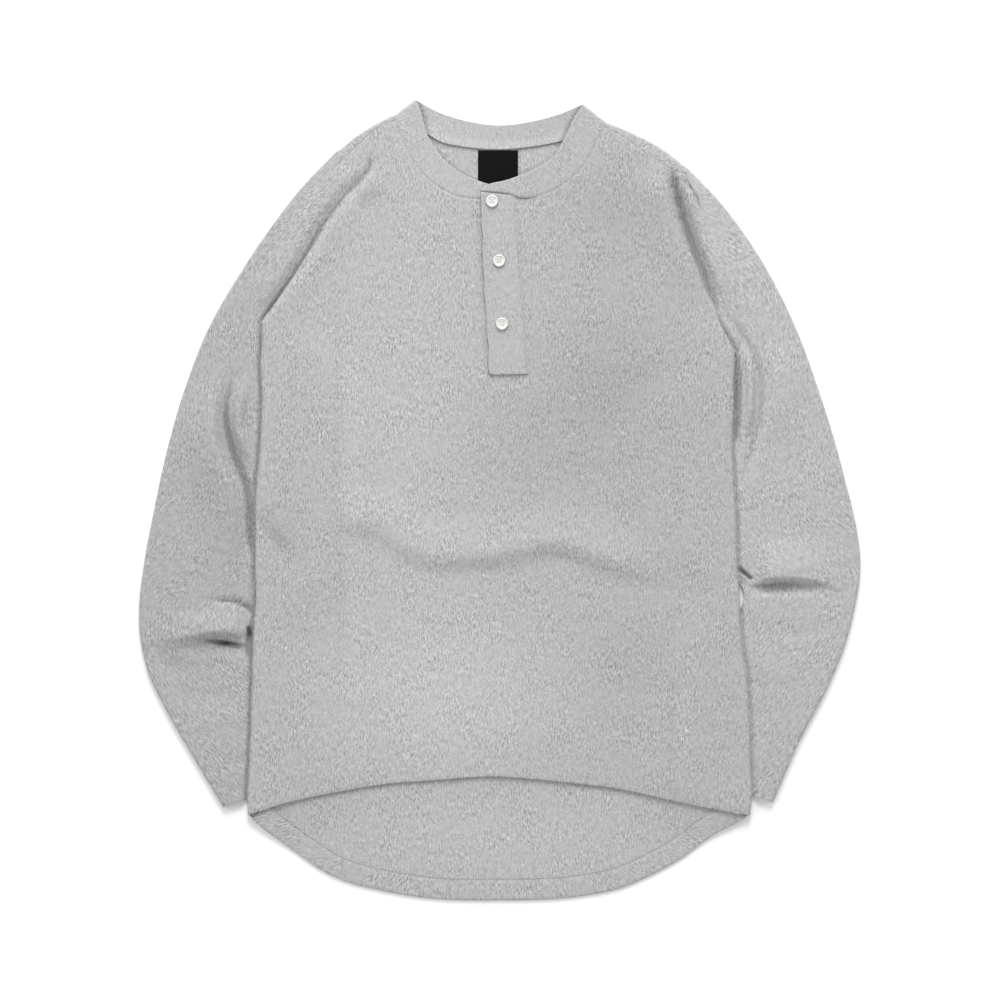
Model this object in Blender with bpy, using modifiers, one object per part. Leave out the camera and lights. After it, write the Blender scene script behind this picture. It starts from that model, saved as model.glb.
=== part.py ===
"""Henley shirt laid flat on a table: long sleeves tucked beneath the body, a buttoned
placket and a drop tail.

The tables are in millimetres and the meshes in metres. X runs across the shirt, Y from the
tail up to the neck, Z up from the table. Right and left are the wearer's, so the right
sleeve lies at -X. Every cloth piece is the middle surface of its wall, which Solidify
thickens, and every height is that of a middle surface.
"""
import math
from collections import namedtuple

import bmesh
import bpy
import numpy as np
from mathutils import Vector

MM = 0.001

# Cloth
KNIT = 1.2                      # one layer of the knit
DOUBLED = 1.6                   # doubled and pressed: neckband and placket
WOVEN = 0.6                     # the label
GAP = 0.3                       # clearance between neighbouring pieces
ON_TABLE = KNIT / 2             # a knit layer that rests on the table

# How the layers lie, middle to middle
BODY_GAP = 3.2                  # back to front
HEM_GAP = 4.6                   # back to front at the hem, with both turned hems between
HEM_REACH = 45.0                # where the front begins to rise to its hem
SLEEVE_FLAT = 1.6               # the sleeve's two walls below the body
SLEEVE_LOFT = 4.4               # the sleeve's two walls in the open
LOFT_START = 14.0               # the sleeve stays flat this far out from the body's edge
LOFT_REACH = 18.0               # and reaches its full loft over this length
FOLD_REACH = 8.0                # and its folds reach their full depth over this one
SLEEVE_MIN = KNIT + GAP         # the sleeve's walls never meet
TUCK_LIFT = SLEEVE_FLAT + KNIT + 1.5 * GAP
TUCK_RAMP = 30.0                # the body slopes down beside a sleeve below it
TUCK_MARGIN = 22.0              # the lift is whole this far past the sleeve
CAP_LEVEL = (205.0, 90.0)       # sleeve head: from here up, over this length, level with the body

# Turned hems
HEM_DEPTH = 21.0
HEM_LAYER = KNIT + GAP
HEM_ARC = (-90, -30, 30, 90)    # degrees round the folded edge
HEM_INSET = 4                   # columns at each side seam that the front's turned hem leaves free
HEM_END = 7.0                   # the back's turned hem stops this far from the side seam

# Rolled edge of the body: steps in from the edge
EDGE_STEPS = np.array([0.0, 0.5, 1.6, 3.6])
EDGE_ROLL = EDGE_STEPS[-1]
SHOULDER_ROLL = 0.2             # share of the roll left at the shoulder
ROLL_FADE = 0.6                 # share of the armhole over which it fades
ROLL_WALL = 0.35                # power of that share by which the rolled wall stands out
STEEPEST = 0.3                  # the rolled edge's steps are no longer than 1 / 0.3 down a column
BACK_INSET = 2.0                # the back's edge inside the front's rolled edge
SEAM_EASE = 0.3                 # sleeve to armhole
FLAP_INSET = 0.7                # the shoulder flap stops this short of the sleeve and the neckband
SHOULDER_ARC = (-45, 0, 45, 90)         # degrees round the shoulder

SIDE_REACH = 0.42               # share of a panel's width that bends with its side

# How many points each part of an edge has, and each panel's rows
FINE_COUNT = 600                # a smooth curve before it is divided
ARMHOLE_COUNT = 8
SHOULDER_COUNT = 6
NECK_COUNT = 9
BACK_NECK_COUNT = 13
SLIT_ROWS = 7
SKIRT_ROWS = 17
BACK_ROWS = 21

# Outline of the body, from the neck point down. R is the wearer's right, at -X.
ARMHOLE_R = ((-238, 178), (-200, 233), (-170, 285), (-164, 310), (-161, 337))
ARMHOLE_L = ((235, 148), (223, 195), (213, 240), (201, 290), (193, 308), (187, 324))
SHOULDER_SEAM_R = ((-161, 337), (-147, 350), (-129, 367), (-115, 376), (-105.5, 379.5))
SHOULDER_SEAM_L = ((187, 324), (149, 343), (120, 366.5), (105.5, 373))
SHOULDER_FOLD_R = ((-161.5, 349), (-152, 357), (-140, 366), (-120, 378), (-108, 384))
SHOULDER_FOLD_L = ((186, 332), (178, 338.5), (163, 350), (140, 363), (120, 372), (108, 376.5))
NECK_R = ((-105.5, 379.5), (-98, 360), (-88, 340), (-75, 324), (-60, 312), (-45, 304),
          (-14, 301))
NECK_L = ((105.5, 373), (99, 362), (89, 342), (75, 325), (60, 313), (45, 306), (26, 302.3),
          (12, 304.5))
NECK_BACK = ((-106.5, 381), (-90, 373.5), (-73, 365.5), (-60, 358), (-35, 352.5), (0, 350),
             (30, 352.5), (62, 358.5), (85, 365.5), (106.5, 374.5))
SIDE_R = ((-238, 178), (-242, 100), (-245, 0), (-248, -140), (-250, -200), (-252, -315))
SIDE_L = ((235, 148), (235, 50), (239, -60), (241, -114), (247, -175), (251, -224), (250, -315))
HEM_FRONT = ((-252, -315), (-229, -306), (-201, -298.5), (-158, -290), (-115, -283), (-63, -279),
             (-12, -275.5), (62, -281), (125, -289), (170, -299), (214, -308), (250, -315))
HEM_BACK = ((-250, -317), (-241, -324.5), (-207, -350), (-169, -375), (-155, -381), (-120, -390),
            (-80, -397), (0, -400), (80, -396), (120, -388), (140, -380), (178, -360),
            (216, -333), (237, -322), (248, -316))

# Placket: a slit in the front, cut out as a narrow notch
SLIT_TOP = ((-14.0, 301.0), (12.0, 304.5))
SLIT_FOOT = ((-6.0, 134.0), (21.0, 137.5))
PLACKET_TOP = ((-20.0, 308.0), (16.0, 304.0))
PLACKET_FOOT = ((-11.0, 125.0), (29.0, 125.5))
PLACKET_CORNER = 3.0            # rounded lower free corner

# Neckband: its free edge, and its ends past the panel's neck line. The right end lies under
# the left one at the placket.
BAND_EDGE_R = ((-83, 398.5), (-79, 388), (-73, 366), (-62, 348), (-53, 337), (-37, 326), (-22, 319),
               (-9, 315), (12, 313))
BAND_END_R = ((-2, 301.3), (12, 301.3))
BAND_EDGE_L = ((82, 394), (76, 384), (64, 359), (52, 342), (40, 334), (26, 327), (5, 319),
               (-10, 315.5), (-18.5, 311.5))
BAND_END_L = ((5, 306.5), (-8, 308), (-19.5, 309))
BAND_SEAM_BACK = ((-107.2, 383.2), (-90, 374), (-73, 366), (-60, 358.5), (-35, 353), (0, 350.5),
                  (30, 353), (62, 359), (85, 366), (107.5, 376))
BAND_EDGE_BACK = ((-85, 400), (-60, 387), (-30, 378), (0, 374.5), (30, 378), (60, 386), (83, 395.5))
BAND_LAP = (24.0, 18.0)         # full lap up to this X, then down to the panel over this length
BAND_ACROSS = 4                 # points across the band
TIP_OUT_R = np.array([-0.59, 0.81])     # out from the fold at each neck tip
TIP_OUT_L = np.array([0.61, 0.79])
PLACKET_ROWS = 16
PLACKET_SHARES = (0.0, 0.08, 0.3, 0.55, 0.8, 1.0)

# Sleeves, a row for each section: the outer fold, then the inner one, X and Y
SLEEVE_R = (
    (-162.5, 348.5, -238.5, 178),
    (-195.5, 314.5, -238, 174),
    (-226.5, 275, -236, 170),
    (-260, 225, -228, 160),
    (-289, 175, -205, 140),
    (-314, 112, -178, 104),
    (-332, 50, -168, 50),
    (-345, -10, -178, -10),
    (-356, -70, -202, -75),
    (-360, -110, -234, -116),
    (-359, -136, -249, -134),
    (-351, -172, -246, -146),
    (-333, -210, -236, -168),
    (-306.5, -256, -216, -219),
    (-276, -307, -194, -279),
)
SLEEVE_L = (
    (187, 331, 235.5, 148),
    (217, 300, 236, 143),
    (254, 250, 234, 136),
    (277, 210, 222, 122),
    (299, 162, 200, 104),
    (316, 115, 180, 84),
    (332, 65, 168, 52),
    (345, 17, 168, 14),
    (356, -30, 184, -28),
    (359.5, -62, 212, -60),
    (358, -85, 238, -82),
    (354, -107, 244, -94),
    (345, -142, 240, -112),
    (330, -180, 229, -139),
    (299, -240, 208, -205),
    (272, -302, 190, -276),
)
SLEEVE_STATIONS = 21
ELBOW_STEPS = np.array([-15.0, -9.0, -4.5, 0.0, 4.5, 9.0, 15.0])
ELBOW_CLEAR = 4.0               # no even section nearer than this to the elbow's own
OUTER_WEIGHT = 0.75             # sections are spaced along a line this near to the outer fold
CAP_FADE = 80.0                 # the armhole's curve fades along the sleeve
CAP_REACH = 2.2                 # how far the folded edges stand out from the flat walls
LOWER_SHARES = (1.0, 0.8, 0.6, 0.4, 0.2, 0.0)
FOLD_ARC = (45, 0, -45)         # degrees round a folded edge of a sleeve or the neckband

# Folds: path, half width, height. Ridges are positive and troughs negative.
FRONT_FOLDS = (
    (((-145, -30), (-100, -48), (-70, -60), (-20, -58), (20, -48), (60, -45), (150, -80)), 17, 1.1),
    (((-157, 255), (-158, 100), (-160, -50), (-157, -220)), 9, -0.7),
    (((178, 55), (182, -80), (178, -200), (176, -285)), 9, -0.6),
    (((-225, -30), (-212, -55), (-198, -85)), 12, -1.0),
    (((-136, 345), (-129, 335), (-142, 317), (-154, 300)), 10, -1.2),
    (((-158, 305), (-140, 298), (-126, 288)), 18, -0.9),
    (((172, 320), (196, 262), (216, 198)), 10, -1.5),
    (((-60, 120), (0, 108), (70, 100)), 22, 0.5),
)
SLEEVE_FOLDS = {
    "R": (
        (((-265, 120), (-274, 80), (-268, 50), (-255, 10), (-246, -40)), 13, -1.9),
        (((-345, -112), (-300, -119), (-254, -116)), 11, 1.3),
        (((-320, -141), (-285, -141), (-248, -136)), 8, -2.6),
        (((-300, -102), (-275, -103), (-249, -106)), 6, -1.2),
    ),
    "L": (
        (((234, 170), (250, 148), (262, 112), (258, 68), (246, 30)), 10, 1.4),
        (((242, 178), (262, 148), (274, 110), (270, 62), (256, 30)), 8, -1.6),
        (((240, -72), (255, -81), (300, -84), (342, -86)), 8, -2.6),
        (((254, -61), (300, -68), (342, -70)), 10, 1.2),
    ),
}
# Each side of the shirt: its sign in X, its edges, its sleeve and the elbow's row in that,
# and how far the armhole's slope stretches the steps of the rolled edge
Side = namedtuple("Side", "sign armhole shoulder_seam shoulder_fold neck side_seam sleeve elbow "
                          "folds stretch")
RIGHT = Side(-1, ARMHOLE_R, SHOULDER_SEAM_R, SHOULDER_FOLD_R, NECK_R, SIDE_R, SLEEVE_R, 10,
             SLEEVE_FOLDS["R"], 1.8)
LEFT = Side(1, ARMHOLE_L, SHOULDER_SEAM_L, SHOULDER_FOLD_L, NECK_L, SIDE_L, SLEEVE_L, 10,
            SLEEVE_FOLDS["L"], 3.2)

FOLD_SAMPLES = 90
FOLD_TAPER = 0.3                # share of a fold's length that fades at each end

# Label and buttons
LABEL = (-22.0, 18.0, 349.5, 304.0)      # left, right, top, foot
BUTTON_RADIUS = 6.25
BUTTON_PLACES = (("button_top", -8, 298.5), ("button_middle", -1, 239), ("button_bottom", 2, 176))
# Turned profile of a button, top to bottom down its outer side: radius, height
BUTTON_PROFILE = ((0.0, 1.5), (3.6, 1.5), (4.5, 2.2), (5.4, 2.4), (6.1, 1.9), (6.25, 1.2),
                  (5.6, 0.3), (3.2, 0.0), (0.0, 0.0))
BUTTON_SIDES = 16

# Colour and roughness
KNIT_FINISH = ((0.46, 0.47, 0.46, 1.0), 0.95)
LABEL_FINISH = ((0.012, 0.012, 0.013, 1.0), 0.6)
BUTTON_FINISH = ((0.78, 0.79, 0.74, 1.0), 0.25)


# ---------------------------------------------------------------- curves

def spread(first, last, count):
    """Even numbers from first to last."""
    return np.linspace(first, last, count)


def run_lengths(line):
    """Length along a line of points up to each of them."""
    steps = np.linalg.norm(np.diff(line, axis=0), axis=1)
    return np.concatenate([[0.0], np.cumsum(steps)])


def smooth(value):
    """0 below 0, 1 above 1, and an even S between."""
    value = np.clip(value, 0.0, 1.0)
    return value * value * (3.0 - 2.0 * value)


def hermite(knots, values, places):
    """Smooth curve through the values at the knots, read at the places."""
    slopes = np.gradient(values, knots, axis=0)
    cell = np.clip(np.searchsorted(knots, places, side="right") - 1, 0, len(knots) - 2)
    span = (knots[cell + 1] - knots[cell])[:, None]
    part = (places - knots[cell])[:, None] / span
    rest = 1.0 - part
    return ((1 + 2 * part) * rest ** 2 * values[cell] + part * rest ** 2 * span * slopes[cell]
            + part ** 2 * (1 + 2 * rest) * values[cell + 1] - part ** 2 * rest * span * slopes[cell + 1])


def fine_curve(points):
    """Smooth curve through the points, as a dense line."""
    points = np.array(points, float)
    knots = run_lengths(points)
    return hermite(knots, points, np.linspace(0.0, knots[-1], FINE_COUNT))


def read_line(line, places):
    """Points of a line at the given lengths along it."""
    lengths = run_lengths(line)
    return np.stack([np.interp(places, lengths, axis) for axis in line.T], axis=1)


def curve(points, count, start=()):
    """Evenly spaced points on a smooth curve, with extra ones at the lengths in start."""
    line = fine_curve(points)
    length = run_lengths(line)[-1]
    first = start[-1] if len(start) else 0.0
    places = np.concatenate([start[:-1], np.linspace(first, length, count)])
    return read_line(line, places)


def chain(*lines):
    """One line from several that follow each other."""
    return np.concatenate([lines[0]] + [line[1:] for line in lines[1:]])


def left_of(line):
    """Unit vectors to the left of a line's travel."""
    tangent = np.gradient(line, axis=0)
    tangent /= np.linalg.norm(tangent, axis=1)[:, None]
    return np.stack([-tangent[:, 1], tangent[:, 0]], axis=1)


def relief(x, y, folds):
    """Sum of the folds: an even swell across each path that fades at both its ends."""
    total = np.zeros_like(x)
    for path, half_width, height in folds:
        line = curve(path, FOLD_SAMPLES)
        away = np.hypot(x[..., None] - line[:, 0], y[..., None] - line[:, 1])
        along = away.argmin(axis=-1) / (FOLD_SAMPLES - 1)
        ends = smooth(np.minimum(along, 1.0 - along) / FOLD_TAPER)
        total += height * ends * (1.0 - smooth(away.min(axis=-1) / half_width))
    return total


# ---------------------------------------------------------------- heights of the layers

def fade(distance):
    """1 up to a distance of 0, then down to 0 over the tuck's ramp."""
    return 1.0 - smooth(distance / TUCK_RAMP)


def tuck(x, y, side):
    """Lift of the body by the sleeve below it, whole over the sleeve."""
    rows = np.array(side.sleeve, float)
    inner = np.interp(y, rows[::-1, 3], rows[::-1, 2])
    outer_cuff, inner_cuff = rows[-1, :2], rows[-1, 2:]
    slope = (inner_cuff[1] - outer_cuff[1]) / (inner_cuff[0] - outer_cuff[0])
    beside = side.sign * (inner - x) - TUCK_MARGIN
    above = y - rows[0, 3] - TUCK_MARGIN
    below = outer_cuff[1] + slope * (x - outer_cuff[0]) - y - TUCK_MARGIN
    return TUCK_LIFT * fade(beside) * fade(above) * fade(below)


def back_height(x, y):
    """Middle of the back panel: on the table, or on the sleeves tucked below it."""
    return ON_TABLE + tuck(x, y, RIGHT) + tuck(x, y, LEFT)


def front_height(x, y):
    """Middle of the front panel: above the back, raised to its hem, with its folds."""
    hem = fine_curve(HEM_FRONT)
    rise = smooth(1.0 - (y - np.interp(x, hem[:, 0], hem[:, 1])) / HEM_REACH)
    return back_height(x, y) + BODY_GAP + (HEM_GAP - BODY_GAP) * rise + relief(x, y, FRONT_FOLDS)


def body_edge(y, side):
    """X of the body's edge at a height of the shirt: side seam, then armhole."""
    line = np.concatenate([fine_curve(side.side_seam)[::-1], fine_curve(side.armhole)[1:]])
    return np.interp(y, line[:, 1], line[:, 0])


def sleeve_gap(x, y, side):
    """Lower wall to upper wall of a sleeve: flat below the body, full in the open."""
    outside = side.sign * (x - body_edge(y, side)) - LOFT_START
    level = smooth((y - CAP_LEVEL[0]) / CAP_LEVEL[1])
    base = SLEEVE_FLAT + (BODY_GAP - SLEEVE_FLAT) * level
    gap = base + (SLEEVE_LOFT - base) * smooth(outside / LOFT_REACH)
    gap += relief(x, y, side.folds) * smooth(outside / FOLD_REACH)
    return np.maximum(gap, SLEEVE_MIN)


# ---------------------------------------------------------------- meshes

def finish(name, finish_values):
    """A plain material of one colour and roughness."""
    colour, roughness = finish_values
    material = bpy.data.materials.new(name)
    material.use_nodes = True
    shader = material.node_tree.nodes["Principled BSDF"]
    shader.inputs["Base Color"].default_value = colour
    shader.inputs["Roughness"].default_value = roughness
    shader.inputs["Metallic"].default_value = 0.0
    material.diffuse_color = colour
    return material


def sheet(points, keep=None, closed=False):
    """Points of a grid and its faces; keep marks the cells, closed joins its last column."""
    rows, columns = points.shape[:2]
    index = np.arange(rows * columns).reshape(rows, columns)
    if closed:
        index = np.concatenate([index, index[:, :1]], axis=1)
    cells = np.stack([index[1:, :-1], index[1:, 1:], index[:-1, 1:], index[:-1, :-1]], axis=-1)
    faces = cells.reshape(-1, 4) if keep is None else cells[keep]
    return points.reshape(-1, 3), faces


def cloth(name, sheets, thickness, finish_values, collection):
    """An open surface of one or more grids, welded where they meet and given its thickness."""
    mesh = bpy.data.meshes.new(name)
    starts = np.cumsum([0] + [len(points) for points, _ in sheets])
    points = np.concatenate([points for points, _ in sheets]) * MM
    faces = np.concatenate([faces + start for (_, faces), start in zip(sheets, starts)])
    mesh.from_pydata(points.tolist(), [], faces.tolist())
    shape = bmesh.new()
    shape.from_mesh(mesh)
    bmesh.ops.remove_doubles(shape, verts=shape.verts, dist=1e-6)
    loose = [point for point in shape.verts if not point.link_faces]
    bmesh.ops.delete(shape, geom=loose, context="VERTS")
    bmesh.ops.recalc_face_normals(shape, faces=shape.faces)
    shape.to_mesh(mesh)
    shape.free()
    mesh.shade_smooth()
    piece = bpy.data.objects.new(name, mesh)
    mesh.materials.append(finish(name, finish_values))
    collection.objects.link(piece)
    wall = piece.modifiers.new("wall", "SOLIDIFY")
    wall.thickness = thickness * MM
    wall.offset = 0.0
    wall.use_even_offset = True
    return piece


def panel(top, bottom, left, right, places):
    """Grid between four edges: straight columns from the top to the bottom, bent with the
    sides, less and less up to the middle. places holds the share of each column at each row.
    """
    u = ((bottom[:, 0] - bottom[0, 0]) / (bottom[-1, 0] - bottom[0, 0]))[None, :, None]
    v = places[:, :, None]
    grid = (1 - v) * top + v * bottom
    for edge, column, weight in ((left, 0, 1 - u / SIDE_REACH), (right, -1, 1 - (1 - u) / SIDE_REACH)):
        line = fine_curve(edge)
        bend = read_line(line, places[:, column] * run_lengths(line)[-1]) - grid[:, column]
        grid = grid + bend[:, None, :] * np.clip(weight, 0.0, 1.0)
    return grid


def turned_hem(edge, inward, height, direction):
    """Strip that goes round the folded edge and back over one side of the panel.

    edge is the panel's last row, inward its unit vectors into the panel, and direction is 1
    where the hem turns up and -1 where it turns down.
    """
    radius = HEM_LAYER / 2
    rows = []
    for degrees in HEM_ARC:
        angle = math.radians(degrees)
        plan = edge - inward * radius * math.cos(angle)
        level = height(edge[:, 0], edge[:, 1]) + direction * radius * (1 + math.sin(angle))
        rows.append(np.column_stack([plan, level]))
    for depth in (HEM_DEPTH / 2, HEM_DEPTH):
        plan = edge + inward * depth
        level = height(plan[:, 0], plan[:, 1]) + direction * HEM_LAYER
        rows.append(np.column_stack([plan, level]))
    return np.stack(rows)


# ---------------------------------------------------------------- front and back

def armhole_line(side):
    """Armhole from the underarm to the shoulder seam: crowded where the body's edge rolls."""
    return curve(side.armhole, ARMHOLE_COUNT, EDGE_STEPS * side.stretch)


def front_top():
    """Upper edge of the front and the columns at which its parts end."""
    parts = (
        armhole_line(RIGHT),
        curve(RIGHT.shoulder_seam, SHOULDER_COUNT),
        curve(RIGHT.neck, NECK_COUNT),
        np.array(SLIT_TOP),
        curve(LEFT.neck, NECK_COUNT)[::-1],
        curve(LEFT.shoulder_seam, SHOULDER_COUNT)[::-1],
        armhole_line(LEFT)[::-1],
    )
    return chain(*parts), np.cumsum([0] + [len(part) - 1 for part in parts])


def front_bottom(ends):
    """Lower edge of the front: crowded at the side seams, in line with the slit."""
    hem = fine_curve(HEM_FRONT)
    top, foot = np.array(SLIT_TOP), np.array(SLIT_FOOT)
    drop = (top[:, 1] - hem[:, 1].max()) / (top[:, 1] - foot[:, 1])
    slit = top[:, 0] + (foot[:, 0] - top[:, 0]) * drop
    steps = len(EDGE_STEPS) - 1
    first, last = hem[0, 0], hem[-1, 0]
    before = spread(first + EDGE_ROLL, slit[0], ends[3] - steps + 1)
    after = spread(slit[1], last - EDGE_ROLL, ends[-1] - ends[4] - steps + 1)
    x = np.concatenate([first + EDGE_STEPS[:-1], before, after, last - EDGE_STEPS[-2::-1]])
    return np.stack([x, np.interp(x, hem[:, 0], hem[:, 1])], axis=1)


def edge_share(ends, count):
    """How far the armhole's edge rolls down at each column: whole at the underarm."""
    column = np.arange(count)
    along = np.minimum(column / ends[1], (count - 1 - column) / (count - 1 - ends[-2]))
    share = 1.0 - (1.0 - SHOULDER_ROLL) * smooth(along / ROLL_FADE)
    return np.where(along <= 1.0, share, 0.0)


def front_grid():
    """Plan of the front, how far each point rolls down to the back, and its slit's column."""
    top, ends = front_top()
    bottom = front_bottom(ends)
    share = edge_share(ends, len(top))
    slope = np.gradient(top, axis=0)
    level = np.abs(slope[:, 0]) / np.linalg.norm(slope, axis=1)
    inset = (share ** ROLL_WALL * KNIT / 2 + GAP / 2)[:, None]
    top[1:-1] -= (left_of(top) * inset)[1:-1]
    slit = slice(ends[3], ends[4] + 1)
    top[slit] = np.array(SLIT_TOP) - np.array([0.0, GAP])
    wall = np.array([KNIT / 2, 0.0])
    top[0] += wall
    top[-1] -= wall
    length = top[:, 1] - bottom[:, 1]
    crowd = EDGE_STEPS[:, None] / np.clip(level, STEEPEST, 1.0) / length
    foot = (SLIT_TOP[0][1] - SLIT_FOOT[0][1]) / length[ends[3]]
    upper = crowd[-1] + (foot - crowd[-1]) * spread(0, 1, SLIT_ROWS + 1)[1:, None]
    lower = foot + (1 - foot) * spread(0, 1, SKIRT_ROWS + 1)[1:, None] * np.ones(len(top))
    places = np.concatenate([crowd, upper, lower])
    plan = panel(top, bottom, np.array(RIGHT.side_seam) + wall, np.array(LEFT.side_seam) - wall, places)
    roll = 1.0 - np.sqrt(1.0 - (1.0 - EDGE_STEPS / EDGE_ROLL) ** 2)
    down = np.zeros(plan.shape[:2])
    down[:len(roll)] = roll[:, None] * share
    sides = np.zeros(len(top))
    sides[:len(roll)] = roll
    sides[-len(roll):] = roll[::-1]
    return plan, np.maximum(down, sides), ends[3]


def build_front(collection):
    """Front panel with its slit and its hem turned under."""
    plan, down, slit_column = front_grid()
    x, y = plan[..., 0], plan[..., 1]
    high, low = front_height(x, y), back_height(x, y)
    points = np.dstack([x, y, high - (high - low) * down])
    keep = np.ones((points.shape[0] - 1, points.shape[1] - 1), bool)
    keep[:len(EDGE_STEPS) - 1 + SLIT_ROWS, slit_column] = False
    edge = plan[-1, HEM_INSET:-HEM_INSET]
    upward = plan[-2, HEM_INSET:-HEM_INSET] - edge
    inward = upward / np.linalg.norm(upward, axis=1)[:, None]
    hem = turned_hem(edge, inward, front_height, -1)
    return cloth("front", [sheet(points, keep), sheet(hem)], KNIT, KNIT_FINISH, collection)


def shoulder_line(points):
    """A shoulder's line, its two ends drawn in from the sleeve and from the neckband."""
    line = curve(points, SHOULDER_COUNT)
    step = run_lengths(line)[1]
    line[0] += (line[1] - line[0]) * FLAP_INSET / step
    line[-1] += (line[-2] - line[-1]) * FLAP_INSET / step
    return line


def back_armhole(side, turn, corner):
    """Armhole of the back: inside the front's rolled edge, ending at the shoulder's corner."""
    line = armhole_line(side)
    line += turn * left_of(line) * BACK_INSET
    line[0] = np.array(side.side_seam[0]) - np.array([side.sign * BACK_INSET, 0.0])
    return np.concatenate([line[:1], line[2:-1], corner[None]])


def back_grid():
    """Plan of the back panel and the columns at which its shoulders begin and end."""
    inset = BODY_GAP / 2 + KNIT / 2
    fold_r, fold_l = shoulder_line(RIGHT.shoulder_fold), shoulder_line(LEFT.shoulder_fold)
    fold_r -= left_of(fold_r) * inset
    fold_l += left_of(fold_l) * inset
    arm_r = back_armhole(RIGHT, -1, fold_r[0])
    arm_l = back_armhole(LEFT, 1, fold_l[0])
    neck = curve(NECK_BACK, BACK_NECK_COUNT)
    neck[0], neck[-1] = fold_r[-1], fold_l[-1]
    parts = (arm_r, fold_r, neck, fold_l[::-1], arm_l[::-1])
    top = chain(*parts)
    ends = np.cumsum([0] + [len(part) - 1 for part in parts])
    hem = fine_curve(HEM_BACK)
    first, last = hem[0, 0], hem[-1, 0]
    x = np.concatenate([[first], spread(first + HEM_END, last - HEM_END, len(top) - 2), [last]])
    bottom = np.stack([x, np.interp(x, hem[:, 0], hem[:, 1]) + (HEM_LAYER + KNIT) / 2], axis=1)
    wall = np.array([BACK_INSET, 0.0])
    left, right = np.array(RIGHT.side_seam) + wall, np.array(LEFT.side_seam) - wall
    left[0], right[0], left[-1], right[-1] = top[0], top[-1], bottom[0], bottom[-1]
    places = spread(0, 1, BACK_ROWS + 1)[:, None] * np.ones(len(top))
    return panel(top, bottom, left, right, places), ends


def shoulder_flap(row, side):
    """The back rolls over the shoulder and runs forward to the shoulder seam."""
    fold, seam = shoulder_line(side.shoulder_fold), shoulder_line(side.shoulder_seam)
    outward = left_of(fold) * -side.sign
    radius = BODY_GAP / 2
    rows = [np.column_stack([row, back_height(row[:, 0], row[:, 1])])]
    for degrees in SHOULDER_ARC:
        angle = math.radians(degrees)
        plan = fold + outward * (radius * (math.cos(angle) - 1) - KNIT / 2)
        level = np.full(len(plan), ON_TABLE + radius * (1 + math.sin(angle)))
        rows.append(np.column_stack([plan, level]))
    seam = seam + outward * GAP / 2
    rows.append(np.column_stack([seam, front_height(seam[:, 0], seam[:, 1])]))
    return np.stack(rows)


def build_back(collection):
    """Back panel: drop tail with its hem turned up, and shoulders that roll forward."""
    plan, ends = back_grid()
    x, y = plan[..., 0], plan[..., 1]
    points = np.dstack([x, y, back_height(x, y)])
    edge = plan[-1, 1:-1]
    hem = turned_hem(edge, left_of(edge), back_height, 1)
    flap_r = shoulder_flap(plan[0, ends[1]:ends[2] + 1], RIGHT)
    flap_l = shoulder_flap(plan[0, ends[3]:ends[4] + 1][::-1], LEFT)
    sheets = [sheet(points), sheet(hem), sheet(flap_r), sheet(flap_l)]
    return cloth("back", sheets, KNIT, KNIT_FINISH, collection)


# ---------------------------------------------------------------- sleeves

def sleeve_stations(side):
    """Sections along a sleeve: evenly spaced, with more at the elbow."""
    rows = np.array(side.sleeve, float)
    knots = run_lengths(rows[:, :2] * OUTER_WEIGHT + rows[:, 2:] * (1 - OUTER_WEIGHT))
    near = knots[side.elbow] + ELBOW_STEPS
    even = spread(0, knots[-1], SLEEVE_STATIONS)
    even = even[(even < near[0] - ELBOW_CLEAR) | (even > near[-1] + ELBOW_CLEAR)]
    places = np.sort(np.concatenate([even, near]))
    return hermite(knots, rows, places), places


def sleeve_head(side):
    """Points of the armhole seam at which the sleeve's columns begin, shoulder first."""
    line = armhole_line(side)[len(EDGE_STEPS):][::-1]
    return line + left_of(line) * side.sign * SEAM_EASE


def sleeve_level(points, side):
    """Lower wall to upper wall at plan points of a sleeve."""
    return sleeve_gap(points[..., 0], points[..., 1], side)


def folded_edge(base, outward, side, turn):
    """Half an ellipse round a folded edge of the sleeve, from base and out from it."""
    angles = np.radians(FOLD_ARC)[::turn]
    plan = base[:, None] + (outward * CAP_REACH)[:, None] * np.cos(angles)[:, None]
    radius = sleeve_level(base, side)[:, None] / 2
    return np.dstack([plan, ON_TABLE + radius * (1 + np.sin(angles))])


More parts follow.
